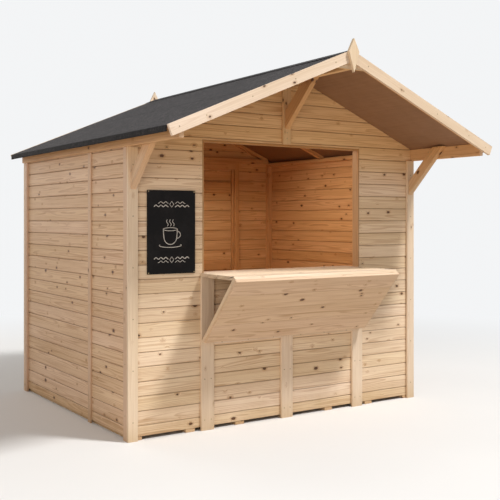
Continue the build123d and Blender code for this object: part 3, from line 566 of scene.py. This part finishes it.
# Frame inside the room
inner_x, (inner_front, inner_rear) = both(INNER_X, FRAME_X), both(INNER_Y, FRAME_Y)
room_x, half_timber = (-INNER_X, INNER_X), TIMBER / 2
plate_middle = (INNER_X + FRAME_X) / 2
plate_top = RAFTER_UNDERSIDE - plate_middle * SLOPE
plate_foot = plate_top - 0.028
header, sole = (GABLE_FOOT, GABLE_FOOT + TIMBER), (FLOOR_TOP, SOLE_TOP)
posts = sticks(ALONG_Z, inner_x, (inner_front, inner_rear), [(FLOOR_TOP, plate_foot)])
timber("corner_post_set", posts, "corner_posts")
door_studs = ((DOORWAY[0] - TIMBER, DOORWAY[0]), (DOORWAY[1], DOORWAY[1] + TIMBER))
studs = sticks(ALONG_Z, inner_x, [about(JOINT_Y, half_timber)], [(SOLE_TOP, plate_foot)])
studs += sticks(ALONG_Z, both(HATCH, HATCH + TIMBER), [inner_front], [(SOLE_TOP, GABLE_FOOT)])
studs += sticks(ALONG_Z, [about(0, half_timber)], [inner_front], [(SOLE_TOP, SHELF_FOOT - TIMBER)])
studs += sticks(ALONG_Z, door_studs, [inner_rear], [(FLOOR_TOP, GABLE_FOOT)])
timber("stud_set", studs, "wall_studs")
plates = sticks(ALONG_Y, inner_x, [(-INNER_Y, INNER_Y)], [sole])
plates += sticks(ALONG_Y, inner_x, [(-FRAME_Y, FRAME_Y)], [(plate_foot, plate_top)])
timber("side_plate_set", plates, "side_plates")
ends = sticks(ALONG_X, [room_x], [inner_front], [sole])
ends += sticks(ALONG_X, ((-INNER_X, door_studs[0][0]), (door_studs[1][1], INNER_X)), [inner_rear], [sole])
ends += sticks(ALONG_X, [room_x], (inner_front, inner_rear), [header])
timber("end_plate_set", ends, "end_plates")
sill = sticks(ALONG_X, [(-HATCH, HATCH)], [inner_front], [(SHELF_FOOT - TIMBER, SHELF_FOOT)])
timber("hatch_sill_beam", sill, "hatch_sill")
lip_foot, rebate = DOORWAY_TOP - 0.018, FRAME_Y - 0.005
head_outline = [(DOORWAY_TOP, FRAME_Y), (GABLE_FOOT, FRAME_Y), (GABLE_FOOT, INNER_Y), (lip_foot, INNER_Y),
                (lip_foot, rebate), (DOORWAY_TOP, rebate)]
timber("door_head_beam", [carried(eased(head_outline, 0.0015), *DOORWAY)], "door_frame_head")
bearer_width = 0.070
bearer_step = (2 * FRAME_X - bearer_width) / 6
bearer_x = [(-FRAME_X + index * bearer_step, -FRAME_X + index * bearer_step + bearer_width) for index in range(7)]
bearers = sticks(ALONG_Y, bearer_x, [(-FRAME_Y, FRAME_Y)], [(0, BEARER_TOP)])
# Low toes carry the bearers on under the front wall, where their ends show
bearers += sticks(ALONG_Y, bearer_x, [(-CLADDING_Y + 0.001, -FRAME_Y + 0.001)], [(0, WALL_FOOT - 0.001)])
timber("bearer_set", bearers, "floor_bearers")

# Roof timbers
inside_run = (DECK_FRONT + 0.018, DECK_REAR - 0.018)
DOWN_SLOPE = np.array((math.cos(SLOPE_ANGLE), -math.sin(SLOPE_ANGLE)))
OFF_SLOPE = np.array((math.sin(SLOPE_ANGLE), math.cos(SLOPE_ANGLE)))


def roof_at(x, ridge=DECK_UNDERSIDE):
    """Height of a roof surface at X: ridge - |x| * slope."""
    return ridge - abs(x) * SLOPE


def sloping(side, outline, y_span, cut=ARRIS):
    """A timber that lies along a roof slope, from its outline in X and Z and its span in Y.

    The outline is turned by the roof's angle, (s, t) = ((x, z) . down_slope, (x, z) . off_slope), so the grain
    follows the slope.
    """
    section = np.asarray(outline, float) @ np.stack([DOWN_SLOPE, OFF_SLOPE], 1)
    axes = np.array([(0, 1, 0), (side * DOWN_SLOPE[0], 0, DOWN_SLOPE[1]), (side * OFF_SLOPE[0], 0, OFF_SLOPE[1])])
    return carried(eased(section, cut), *y_span, axes, order=(1, 2, 0))


rafter_half = 0.020
rafter_head = [(HALF_BEAM, roof_at(HALF_BEAM, RAFTER_UNDERSIDE)), (HALF_BEAM, roof_at(HALF_BEAM))]
end_rafter = rafter_head + [(CLADDING_X, roof_at(CLADDING_X)), (CLADDING_X, roof_at(CLADDING_X, RAFTER_UNDERSIDE))]
seated_rafter = rafter_head + [(FRAME_X, roof_at(FRAME_X)), (FRAME_X, plate_top), (plate_middle, plate_top)]
stations = [DECK_FRONT + rafter_half + index * (DECK_REAR - DECK_FRONT - 2 * rafter_half) / 3 for index in range(4)]
rafters = [sloping(side, end_rafter if index in (0, 3) else seated_rafter, about(y, rafter_half))
           for side in (1, -1) for index, y in enumerate(stations)]
timber("rafter_set", rafters, "rafters")
rail = rafter_head + [((surface - header[1]) / SLOPE, header[1]) for surface in (DECK_UNDERSIDE, RAFTER_UNDERSIDE)]
timber("gable_rail_set", [sloping(side, rail, y) for side in (1, -1) for y in (inner_front, inner_rear)], "gable_rails")
ridge_outline = [(-HALF_BEAM, RIDGE_BEAM_FOOT), (HALF_BEAM, RIDGE_BEAM_FOOT), (HALF_BEAM, roof_at(HALF_BEAM)),
                 (0, DECK_UNDERSIDE), (-HALF_BEAM, roof_at(HALF_BEAM))]
trim("ridge_beam_eased", [carried(eased(ridge_outline, ARRIS), *inside_run, FLAT_Y)], "ridge_beam")
outer = CLADDING_X + 0.030
eave_outline = np.array([(CLADDING_X, WALL_HEIGHT), (outer, WALL_HEIGHT), (outer, roof_at(outer)),
                         (CLADDING_X, roof_at(CLADDING_X))])
eave_beams = [carried(eased(eave_outline * (side, 1), 0.0035), DECK_FRONT, TRIM_Y + 0.002, FLAT_Y)
              for side, name in SIDES]
trim("eave_beam_set", eave_beams, "eave_beams", shaded_beam_wood)
half_gusset = [((RAFTER_UNDERSIDE - RIDGE_BEAM_FOOT) / SLOPE, RIDGE_BEAM_FOOT)] + rafter_head
gusset = eased(half_gusset + [(0, DECK_UNDERSIDE)] + [(-x, z) for x, z in half_gusset[::-1]], 0.0012)
gussets = [carried(gusset, low, high, FLAT_Y, order=(1, 2, 0))
           for low, high in ((DECK_FRONT, inside_run[0]), (inside_run[1], DECK_REAR))]
trim("apex_gusset_set", gussets, "apex_gussets")


def bargeboard(width):
    """Outline of a bargeboard: plumb-cut at the ridge, square-cut at the eave."""
    drop, foot = width / UPRIGHT, roof_at(EAVE_X, RIDGE_TOP)
    return [(0.0003, RIDGE_TOP - width * UPRIGHT), (0.0003, RIDGE_TOP), (EAVE_X, foot),
            (EAVE_X - drop * SLOPE, foot - drop)]


barge_runs = ((0.068, (ROOF_FRONT, DECK_FRONT)), (0.040, (DECK_REAR, ROOF_REAR)))
for side, name in SIDES:
    barges = [sloping(side, bargeboard(width), y, 0.002) for width, y in barge_runs]
    trim("bargeboard_set_" + name, barges, "bargeboards_" + name)
waist = RIDGE_TOP - 0.014
kite = eased([(0, RIDGE_TOP - 0.147), (0.043, waist), (0, RIDGE_TOP + 0.072), (-0.043, waist)], 0.0022)
finials = [carried(kite, low, high, FLAT_Y, order=(2, 1, 0))
           for low, high in ((ROOF_FRONT - 0.020, ROOF_FRONT), (ROOF_REAR, ROOF_REAR + 0.020))]
trim("finial_set", finials, "finials")


def brace(foot, width, degrees, x_span, head):
    """A brace from the wall's face up to a level height: both ends are cut where the axis meets them.

    A point at (s, a) lies at y = -TRIM_Y - s cos + a sin and z = foot + s sin + a cos, so the foot's cut is s = a tan.
    """
    cosine, sine = math.cos(math.radians(degrees)), math.sin(math.radians(degrees))
    section = rectangle((0, x_span[0]), (width, x_span[1]), 0.002)
    start = section[:, 0] * sine / cosine
    finish = (head - foot - section[:, 0] * cosine) / sine
    axes = np.array([(0, -cosine, sine), (0, sine, cosine), (1, 0, 0)])
    return carried(section, start, finish, axes, (0, -TRIM_Y, foot))


brace_width = 0.040
braces = [brace(WALL_HEIGHT - 0.268, 0.075, 45, x_span, roof_at(CLADDING_X))
          for x_span in both(CLADDING_X - brace_width, CLADDING_X)]
braces.append(brace(RIDGE_BEAM_FOOT - 0.322, 0.090, 43.5, about(0, brace_width / 2), RIDGE_BEAM_FOOT))
trim("knee_brace_set", braces, "knee_braces", shaded_beam_wood)

# Roof deck, hinges and handle keep their solids, with a better surface
kept = {"roof_deck_left": soffit, "roof_deck_right": soffit,
        "door_hinge_straps": iron, "door_hinge_plates": iron, "door_handle": iron}
for name, material in kept.items():
    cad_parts[name].data.materials.clear()
    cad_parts[name].data.materials.append(material)


# Felt

def grid_shape(points):
    """Quads between the neighbours of a grid of points(u, v), turned so that the first of them faces up."""
    rows, columns = points.shape[:2]
    index = np.arange(rows * columns).reshape(rows, columns)
    quads = np.stack([index[:-1, :-1], index[1:, :-1], index[1:, 1:], index[:-1, 1:]], 2).reshape(-1, 4)
    flat = points.reshape(-1, 3)
    first = flat[quads[0]]
    if np.cross(first[1] - first[0], first[2] - first[0])[2] < 0:
        quads = quads[:, ::-1]
    return {"points": flat, "faces": quads.tolist()}


def felt_sheet(side):
    """Felt over one slope: point(u, v) = (x(v), y(u), height(v) + waves(u, v)), v from the ridge down to the lip.

    Height steps down where the upper strip ends, and the last part of v turns down over the eave.
    """
    turn_x, turn_out, turn_down, lap = EAVE_X - 0.0065, 0.0055, 0.0065, 0.7008
    y = np.linspace(DECK_FRONT + HAIR, DECK_REAR - HAIR, 160)
    flat = np.sort(np.append(np.linspace(0.0, turn_x, 64), (0.700, 0.7015)))
    z = DECK_TOP - flat * SLOPE + np.where(flat < lap, 0.0033, 0.0024) * UPRIGHT
    turn = np.linspace(0, math.pi / 2, 5)[1:]
    corner_x = turn_x + turn_out * np.sin(turn)
    corner_z = z[-1] - turn_down * (1 - np.cos(turn)) - turn_out * SLOPE * turn / (math.pi / 2)
    lip_z = np.linspace(corner_z[-1], RIDGE_TOP - EAVE_X * SLOPE - FELT_LIP, 4)[1:]
    x = np.concatenate([flat, corner_x, np.full(3, corner_x[-1])])
    z = np.concatenate([z, corner_z, lip_z])
    u, v = np.meshgrid(y, np.arange(len(x)), indexing="ij")
    waves = 0.0007 * (np.sin(7.3 * u + 2.1 * x[v]) * np.sin(5.1 * x[v] + 1.7 * side) - 1)
    fade = np.clip((EAVE_X - 0.05 - x[v]) / 0.2, 0, 1)
    return grid_shape(np.stack([side * x[v], u, z[v] + waves * fade], 2))


def ridge_strip():
    """Felt folded over the ridge, with long edges ragged by a slow wave.

    height(v) = ridge top + thickness - slope * (sqrt(x(v)^2 + r^2) - r), where r is the fold's radius.
    """
    half_width, thickness, fold = 0.105, 0.0010, 0.006
    y = np.linspace(DECK_FRONT + 0.001, DECK_REAR - 0.001, 120)
    u, v = np.meshgrid(y, np.linspace(-1, 1, 31), indexing="ij")
    x = v * (half_width + 0.0015 * np.sin(9 * u))
    z = RIDGE_TOP + thickness - SLOPE * (np.sqrt(x ** 2 + fold ** 2) - fold)
    return grid_shape(np.stack([x, u, z], 2))


sheets = [("felt_covering_" + name, felt_sheet(side), ["roof_felt_" + name], 0.0016) for side, name in SIDES]
sheets.append(("felt_ridge_strip", ridge_strip(), [], 0.0009))
for name, shape, nodes, thick in sheets:
    covering = piece(name, [shape], felt, nodes, smooth=True)
    thickness = covering.modifiers.new("thickness", "SOLIDIFY")
    thickness.thickness = thick
    thickness.offset = -1

# Sloping flap and counter shelf
flap_foot, flap_top, flap_reach, foot_reach = 0.588, 1.008, 0.428, 0.058
flap_front = -TRIM_Y - flap_reach
rise, flat_run = flap_top - flap_foot, flap_reach - foot_reach
length = math.hypot(rise, flat_run)
up_y, up_z = -flat_run / length, rise / length
in_y, in_z = rise / length, flat_run / length


def flap_point(depth, drop):
    """A point of the flap's section, in height and depth, at a distance in from its face and down from its top edge."""
    return (flap_top + in_z * depth - up_z * drop, flap_front + in_y * depth - up_y * drop)


def cut_drop(depth):
    """How far down the slope a layer at this depth reaches the flap's level foot."""
    return (flap_top + in_z * depth - flap_foot) / up_z


def shelf_outline(low, high):
    """A level shelf board's corners, in height and depth."""
    return [(SHELF_TOP, low), (SHELF_FOOT, low), (SHELF_FOOT, high), (SHELF_TOP, high)]


board, deep, joint, rail_width = 0.020, 0.048, 0.0003, 0.060
face_boards, drops = [], (0.0, 0.131, 0.262, 0.402, None)
for top_drop, foot_drop in zip(drops[:-1], drops[1:]):
    low = [flap_point(depth, foot_drop - joint if foot_drop else cut_drop(depth)) for depth in (0, board)]
    section = [flap_point(0, top_drop + joint), *low, flap_point(board, top_drop + joint)]
    face_boards.append(carried(eased(section, 0.0012), *COUNTER, ease=0.0025))
boarding("flap_face_boards", face_boards, shaded_flap_wood, ["counter_flap_boards"])
top_rail = [flap_point(board, 0), flap_point(board, rail_width), flap_point(deep, rail_width), flap_point(deep, 0)]
foot_rail = [flap_point(board, length - rail_width), flap_point(board, cut_drop(board)), (flap_foot, -TRIM_Y),
             flap_point(deep, (in_y * deep - flap_reach) / up_y), flap_point(deep, length - rail_width)]
rail_x = (COUNTER[0] + 0.003, COUNTER[1] - 0.003)
rails = [carried(eased(section, 0.0025), *rail_x, ease=0.0025) for section in (top_rail, foot_rail)]
trim("flap_rail_set", rails, "counter_flap_rails")
flap_axes = np.array([(0, up_y, up_z), (1, 0, 0), (0, in_y, in_z)])
stile_drops = (rail_width + HAIR - length, -rail_width - HAIR)
stiles = [carried(rectangle((x - half_timber, board), (x + half_timber, deep)), *stile_drops, flap_axes,
                  (0, flap_front, flap_top))
          for x in (rail_x[0] + half_timber, sum(COUNTER) / 2, rail_x[1] - half_timber)]
trim("flap_stile_set", stiles, "counter_flap_stiles")
shelf_front = flap_front + deep * in_y
meeting = flap_top + in_z * deep
shelf_edges = (shelf_front, -1.268, -1.168, -1.062, -CLADDING_Y)
shelf_gap = 0.0026
shelf_boards = []
for index, (left, right) in enumerate(((0.0, 0.001), (0.0035, 0.0), (0.0008, 0.002), (0.002, 0.0005))):
    section = shelf_outline(shelf_edges[index] + shelf_gap, shelf_edges[index + 1] - shelf_gap)
    if index == 0:
        bevel = shelf_front + (meeting - SHELF_FOOT) * flat_run / rise
        section[:2] = [(SHELF_TOP, shelf_front + joint), (meeting, shelf_front + joint), (SHELF_FOOT, bevel)]
    rounded = eased(section, 0.0035)
    beside_joint = np.abs(rounded[:, 1:] - np.array(shelf_edges[1:4])).min(1) < 0.003
    # Painted shade in the joints between shelf boards, on their edges below the top face.
    joint_shade = beside_joint & (rounded[:, 0] < SHELF_TOP - 0.001) & (rounded[:, 0] > SHELF_FOOT + 0.001)
    shelf_boards.append(carried(rounded, COUNTER[0] + left, COUNTER[1] - right, joint_shade=joint_shade.astype(float)))
for span in ((-CLADDING_Y + joint, -0.8813), (-0.8807, -0.800)):
    shelf_boards.append(carried(eased(shelf_outline(*span), 0.0012), *hatch_x))
trim("shelf_boards", shelf_boards, "counter_shelf", shelf_wood)

# Door
stop_width, ledge_inset, ledge_half = 0.020, 0.028, 0.0475
stop_x = ((DOORWAY[0], DOORWAY[0] + stop_width), (DOORWAY[1] - stop_width, DOORWAY[1]))
stops = sticks(ALONG_Z, stop_x, [(FRAME_Y - 0.025, rebate)], [(FLOOR_TOP, lip_foot)])
trim("door_stop_strips", stops, "door_stops", frame_wood)
ledges = sticks(ALONG_X, [(LEAF[0] + ledge_inset, LEAF[1] - ledge_inset)], [(FRAME_Y - 0.020, FRAME_Y)],
                [about(z, ledge_half) for z in LEDGE_HEIGHTS], 0.003)
trim("door_ledge_boards", ledges, "door_ledges", frame_wood, "door")

# Sign
sign_x, sign_z, sign_face = (-1.091, -0.742), (1.045, 1.583), -CLADDING_Y - 0.010
sign_panel = carried(rectangle(*zip(sign_x, sign_z), 0.001), sign_face, -CLADDING_Y, FLAT_Y)
piece("sign_panel", [sign_panel], sign_paint, ["sign_board"])


def chalk_line(path, width, closed=False):
    """A flat line of chalk on the sign, a fifth of a millimetre proud.

    point(u, v) = path(u) + half width * v * normal(u).
    """
    path, proud = np.asarray(path, float), 0.0002
    if closed:
        path = np.concatenate([path, path[:1]])
        slope = np.gradient(np.concatenate([path[-2:-1], path, path[1:2]]), axis=0)[1:-1]
    else:
        slope = np.gradient(path, axis=0)
    normal = np.stack([-slope[:, 1], slope[:, 0]], 1) / np.linalg.norm(slope, axis=1, keepdims=True) * width / 2
    rims = np.stack([path - normal, path + normal, path + normal, path - normal], 1)
    depth = np.broadcast_to(np.array([sign_face - proud] * 2 + [sign_face + proud] * 2), rims.shape[:2])
    points = np.stack([rims[..., 0], depth, rims[..., 1]], 2).reshape(-1, 3)
    start = 4 * np.arange(len(path) - 1)[:, None, None]
    ring = np.array([(0, 1, 5, 4), (1, 2, 6, 5), (2, 3, 7, 6), (3, 0, 4, 7)])
    last = 4 * (len(path) - 1)
    faces = (start + ring).reshape(-1, 4).tolist() + [[3, 2, 1, 0], [last, last + 1, last + 2, last + 3]]
    return {"points": points, "faces": faces}


def arc(x, z, radius_x, radius_z, start, finish, count=25):
    """Points of an ellipse round a middle, between two angles in degrees."""
    turn = np.radians(np.linspace(start, finish, count))
    return np.stack([x + radius_x * np.cos(turn), z + radius_z * np.sin(turn)], 1)


def ornament():
    """A steaming cup between two wavy rules with diamonds, in chalk, all about the sign's middle."""
    middle_x, middle_z = sum(sign_x) / 2, sum(sign_z) / 2
    cup_x, cup_z = middle_x - 0.010, middle_z - 0.030
    rim_z, rim_radius = cup_z + 0.048, 0.052
    bowl = [(cup_x - rim_radius, rim_z), *arc(cup_x, cup_z, 0.047, 0.050, 190, 350), (cup_x + rim_radius, rim_z)]
    lines = [chalk_line(bowl, 0.0048),
             chalk_line(arc(cup_x, rim_z, rim_radius, 0.010, 0, 360, 33)[:-1], 0.0036, True),
             chalk_line(arc(cup_x + 0.050, cup_z + 0.012, 0.024, 0.022, 100, -95), 0.0046),
             chalk_line(arc(cup_x, cup_z - 0.056, 0.080, 0.013, 160, 380), 0.0044)]
    up = np.linspace(0, 1, 25)
    for offset in (-0.022, 0.0, 0.022):
        steam_x = cup_x + offset + 0.006 * np.sin(up * 2 * math.pi)
        lines.append(chalk_line(np.stack([steam_x, cup_z + 0.068 + 0.042 * up], 1), 0.0036))
    for end in (-1, 1):
        for row, reach, width in ((0.168, 0.128, 0.0050), (0.190, 0.100, 0.0034)):
            for side in (-1, 1):
                run = np.linspace(0.024, reach, 30)
                rule_z = middle_z + end * row + 0.0055 * np.sin(run * 180)
                lines.append(chalk_line(np.stack([middle_x + side * run, rule_z], 1), width))
        level, half_x, half_z = middle_z + end * 0.179, 0.015, 0.019
        diamond = [(middle_x - half_x, level), (middle_x, level + half_z), (middle_x + half_x, level),
                   (middle_x, level - half_z)]
        lines.append(chalk_line(diamond, 0.0040, True))
    return lines


piece("sign_chalk_ornament", ornament(), chalk)


# Screws and nails

def heads(spots, outward, radius=0.0042, crossed=True):
    """Heads of screws or nails: point(u, v) = spot + radius * r(v) * (cos u, sin u) in the face + h(v) * outward.

    A screw's third ring is the cross-shaped rim of its recess, r = 0.42 + 0.16 cos 4u, round a sunk middle.
    """
    spots = np.asarray(spots, float)
    outward = np.asarray(outward, float)
    first = np.cross(outward, (0.3, 0.5, 0.81))
    first /= np.linalg.norm(first)
    second = np.cross(outward, first)
    count, pole_lift = (12, -0.0008) if crossed else (8, 0.0010)
    turn = 2 * math.pi * np.arange(count) / count
    rings = [(1.0, -0.0004), (0.93, 0.0005)] + [(0.42 + 0.16 * np.cos(4 * turn), 0.0007) if crossed else (0.55, 0.0009)]
    radii = radius * np.stack([np.broadcast_to(reach, count) for reach, lift in rings])
    lifts = np.array([lift for reach, lift in rings])
    spun = turn + chance.uniform(0, 6, (len(spots), 1, 1))
    flat = radii[None, :, :, None] * (np.cos(spun)[..., None] * first + np.sin(spun)[..., None] * second)
    body = spots[:, None, None] + flat + lifts[None, :, None, None] * outward
    pole = spots + outward * pole_lift
    points = np.concatenate([body.reshape(len(spots), -1, 3), pole[:, None]], 1)
    index = np.arange(len(rings) * count).reshape(len(rings), count)
    after = np.roll(index, -1, 1)
    quads = np.stack([index[:-1], after[:-1], after[1:], index[1:]], 2).reshape(-1, 4)
    fan = np.stack([index[-1], after[-1], np.full(count, len(rings) * count)], 1)
    size = points.shape[1]
    faces = []
    for start in range(0, size * len(spots), size):
        faces += (quads + start).tolist() + (fan + start).tolist()
    return {"points": points.reshape(-1, 3), "faces": faces}


def lattice(x, y, z):
    """Every combination of the given X, Y and Z values."""
    return np.stack(np.meshgrid(*map(np.atleast_1d, (x, y, z)), indexing="ij"), -1).reshape(-1, 3)


def down_roof(drop, y):
    """Spots on both bargeboards, at set distances down the slope and a drop square to it."""
    distances = np.array((0.16, 0.50, 0.84, 1.18, 1.37))
    x = DOWN_SLOPE[0] * distances - OFF_SLOPE[0] * drop
    z = RIDGE_TOP + DOWN_SLOPE[1] * distances - OFF_SLOPE[1] * drop
    return np.concatenate([np.stack([side * x, np.full_like(x, y), z], 1) for side in (-1, 1)])


def screw_grid(x, y, z, outward, radius=0.0042):
    """Screws at every combination of the given X, Y and Z values."""
    return heads(lattice(x, y, z), outward, radius)


def nails(x, y, z, outward):
    """Small round nail heads at every combination of the given X, Y and Z values."""
    return heads(lattice(x, y, z), outward, 0.0021, False)


def metalwork(name, shapes, body="stall"):
    """Screw and nail heads that are added to a body."""
    piece(name, shapes, zinc, body=body)


tall = np.linspace(0.12, 1.74, 6)
corner_screw_x, corner_screw_y = (-1.195, 1.195), (-0.936, 0.936)
front_screws = [lattice(corner_screw_x, -TRIM_Y, tall),
                lattice((-0.674, -0.624, -0.025, 0.025, 0.624, 0.674), -TRIM_Y, (0.07, 0.34, 0.62)),
                lattice(0, -TRIM_Y, (1.965, 2.005)),
                lattice((-0.54, -0.33, -0.12, 0.12, 0.33, 0.54), -TRIM_Y, 0.577)]
screws = [heads(np.concatenate(front_screws), FRONTWARD), screw_grid(corner_screw_x, TRIM_Y, tall, REARWARD)]
for side, name in SIDES:
    screws.append(screw_grid(side * TRIM_X, corner_screw_y, tall + 0.04, (side, 0, 0)))
    screws.append(screw_grid(side * (CLADDING_X + STRIP), JOINT_Y + 0.008, tall + 0.04, (side, 0, 0)))
screws += [heads(down_roof(0.034, ROOF_FRONT), FRONTWARD), heads(down_roof(0.020, ROOF_REAR), REARWARD)]
for y, outward in ((ROOF_FRONT - 0.0192, FRONTWARD), (ROOF_REAR + 0.0192, REARWARD)):
    screws.append(screw_grid(0, y, (waist, waist - 0.060), outward))
shelf_screw_y = (-1.33, -1.29, -1.235, -1.175, -1.122, -1.062, -1.010)
screws.append(screw_grid((COUNTER[0] + 0.022, COUNTER[1] - 0.022), shelf_screw_y, SHELF_TOP, UPWARD))
sign_screw_x, sign_screw_z = [(low + 0.008, high - 0.008) for low, high in (sign_x, sign_z)]
screws.append(screw_grid(sign_screw_x, sign_face, sign_screw_z, FRONTWARD, 0.0048))
for side, name in SIDES:
    screws.append(screw_grid(side * (CLADDING_X - brace_width), (-1.222, -1.192), (1.875, 1.905), (-side, 0, 0)))
screws.append(screw_grid((-0.047, 0.787), CLADDING_Y, tall, REARWARD))
metalwork("screw_heads", screws)
board_middles = END_COURSES[0] + END_COURSES[1] * (np.arange(11, 20) + 0.5)
nail_z = np.sort(np.concatenate([board_middles - 0.024, board_middles + 0.024]))
metalwork("nail_heads", [nails((-0.704, 0.704), -CLADDING_Y - 0.0001, nail_z, FRONTWARD)])
hinge_heights, hinge_face = LEDGE_HEIGHTS[::2], CLADDING_Y + 0.003
strap_screws = [(x, hinge_face, z) for z in hinge_heights for x in (0.02, 0.10, 0.18, 0.26)]
ledge_nail_z = [z + offset for z in LEDGE_HEIGHTS for offset in (-0.028, 0.028)]
ledge_nail_x = np.linspace(0.06, 0.70, 5)
door_heads = [heads(strap_screws, REARWARD, 0.0040), nails(ledge_nail_x, CLADDING_Y, ledge_nail_z, REARWARD)]
metalwork("door_screws", door_heads, "door")
plate_screw_z = [z + offset for z in hinge_heights for offset in (-0.045, 0.045)]
metalwork("hinge_plate_screws", [screw_grid((-0.058, -0.040), hinge_face, plate_screw_z, REARWARD, 0.0036)])


# Floor, camera and light

SHOWN = (0.90, 0.91, 0.92, 1)
LAMP_AIM = (0.0, -0.3, 1.2)


def eye_rays(n):
    """1 for rays that come from the camera, a mirror or a clear surface, else 0."""
    seen = n.add("ShaderNodeLightPath").outputs
    either = n.maths("MAXIMUM", seen["Is Camera Ray"], seen["Is Glossy Ray"])
    return n.maths("MAXIMUM", either, seen["Is Transmission Ray"])


def floor_surface():
    """Pale studio floor with a faint cloud, which fades into the backdrop's colour away from the stall."""
    material, n, shader = new_material("studio_floor", 0.85)
    place, eye = n.place(), eye_rays(n)
    cloud = n.blend(n.noise(place, (0.8, 0.8, 0.8), 3.0), (0.76, 0.76, 0.755, 1), (0.80, 0.80, 0.795, 1))
    n.feed(shader, n.blend(eye, (0.52, 0.455, 0.39, 1), cloud))
    far = n.times(n.ramp(n.vector("LENGTH", place), 2.2, 6.5), eye)
    glow = n.add("ShaderNodeEmission", Color=SHOWN, Strength=1.0)
    mixed = n.add("ShaderNodeMixShader", i0=far, i1=shader.outputs[0], i2=glow.outputs[0])
    n.tree.links.new(mixed.outputs[0], n.tree.nodes["Material Output"].inputs["Surface"])
    return material


floor_mesh = bpy.data.meshes.new("floor")
floor_mesh.from_pydata([(-30, -30, 0), (30, -30, 0), (30, 30, 0), (-30, 30, 0)], [], [(0, 1, 2, 3)])
floor_mesh.materials.append(floor_surface())
floor = placed("floor", floor_mesh)

camera = placed("camera", bpy.data.cameras.new("camera"))
camera.data.sensor_width = 36
camera.data.lens = 60.98
camera.data.shift_y = -0.0624
camera.location = (-3.5247, -5.8017, 1.3992)
camera.rotation_euler = (math.pi / 2, 0, -math.radians(33.65))
bpy.context.scene.camera = camera

world = bpy.data.worlds.new("world")
bpy.context.scene.world = world
world.use_nodes = True
background = world.node_tree.nodes["Background"]
sky = Nodes(world.node_tree)
sky_eye = eye_rays(sky)
world.node_tree.links.new(sky.blend(sky_eye, (0.97, 0.96, 0.95, 1), SHOWN), background.inputs["Color"])
world.node_tree.links.new(sky.scaled(sky_eye, 0.69, 0.31), background.inputs["Strength"])


def lamp(name, location, size, power, colour):
    """A square area lamp that faces the middle of the stall."""
    data = bpy.data.lights.new(name, "AREA")
    data.shape = "SQUARE"
    data.size = size
    data.energy = power
    data.color = colour
    thing = placed(name, data)
    thing.location = location
    thing.visible_camera = False
    east, north, up = np.subtract(LAMP_AIM, location)
    thing.rotation_euler = (math.atan2(math.hypot(east, north), -up), 0, math.atan2(east, -north) + math.pi)


lamp("key_lamp", (4.2, -7.2, 12.6), 2.0, 1950, (1.0, 0.99, 0.975))
lamp("fill_lamp", (-5.2, -4.6, 1.7), 3.0, 85, (1.0, 0.88, 0.76))
lamp("rear_lamp", (-3.0, 6.5, 3.4), 3.5, 130, (1.0, 0.93, 0.86))
lamp("room_lamp", (0.0, 0.0, 2.05), 0.9, 14, (1.0, 0.86, 0.70))

bpy.context.scene.view_settings.view_transform = "Standard"
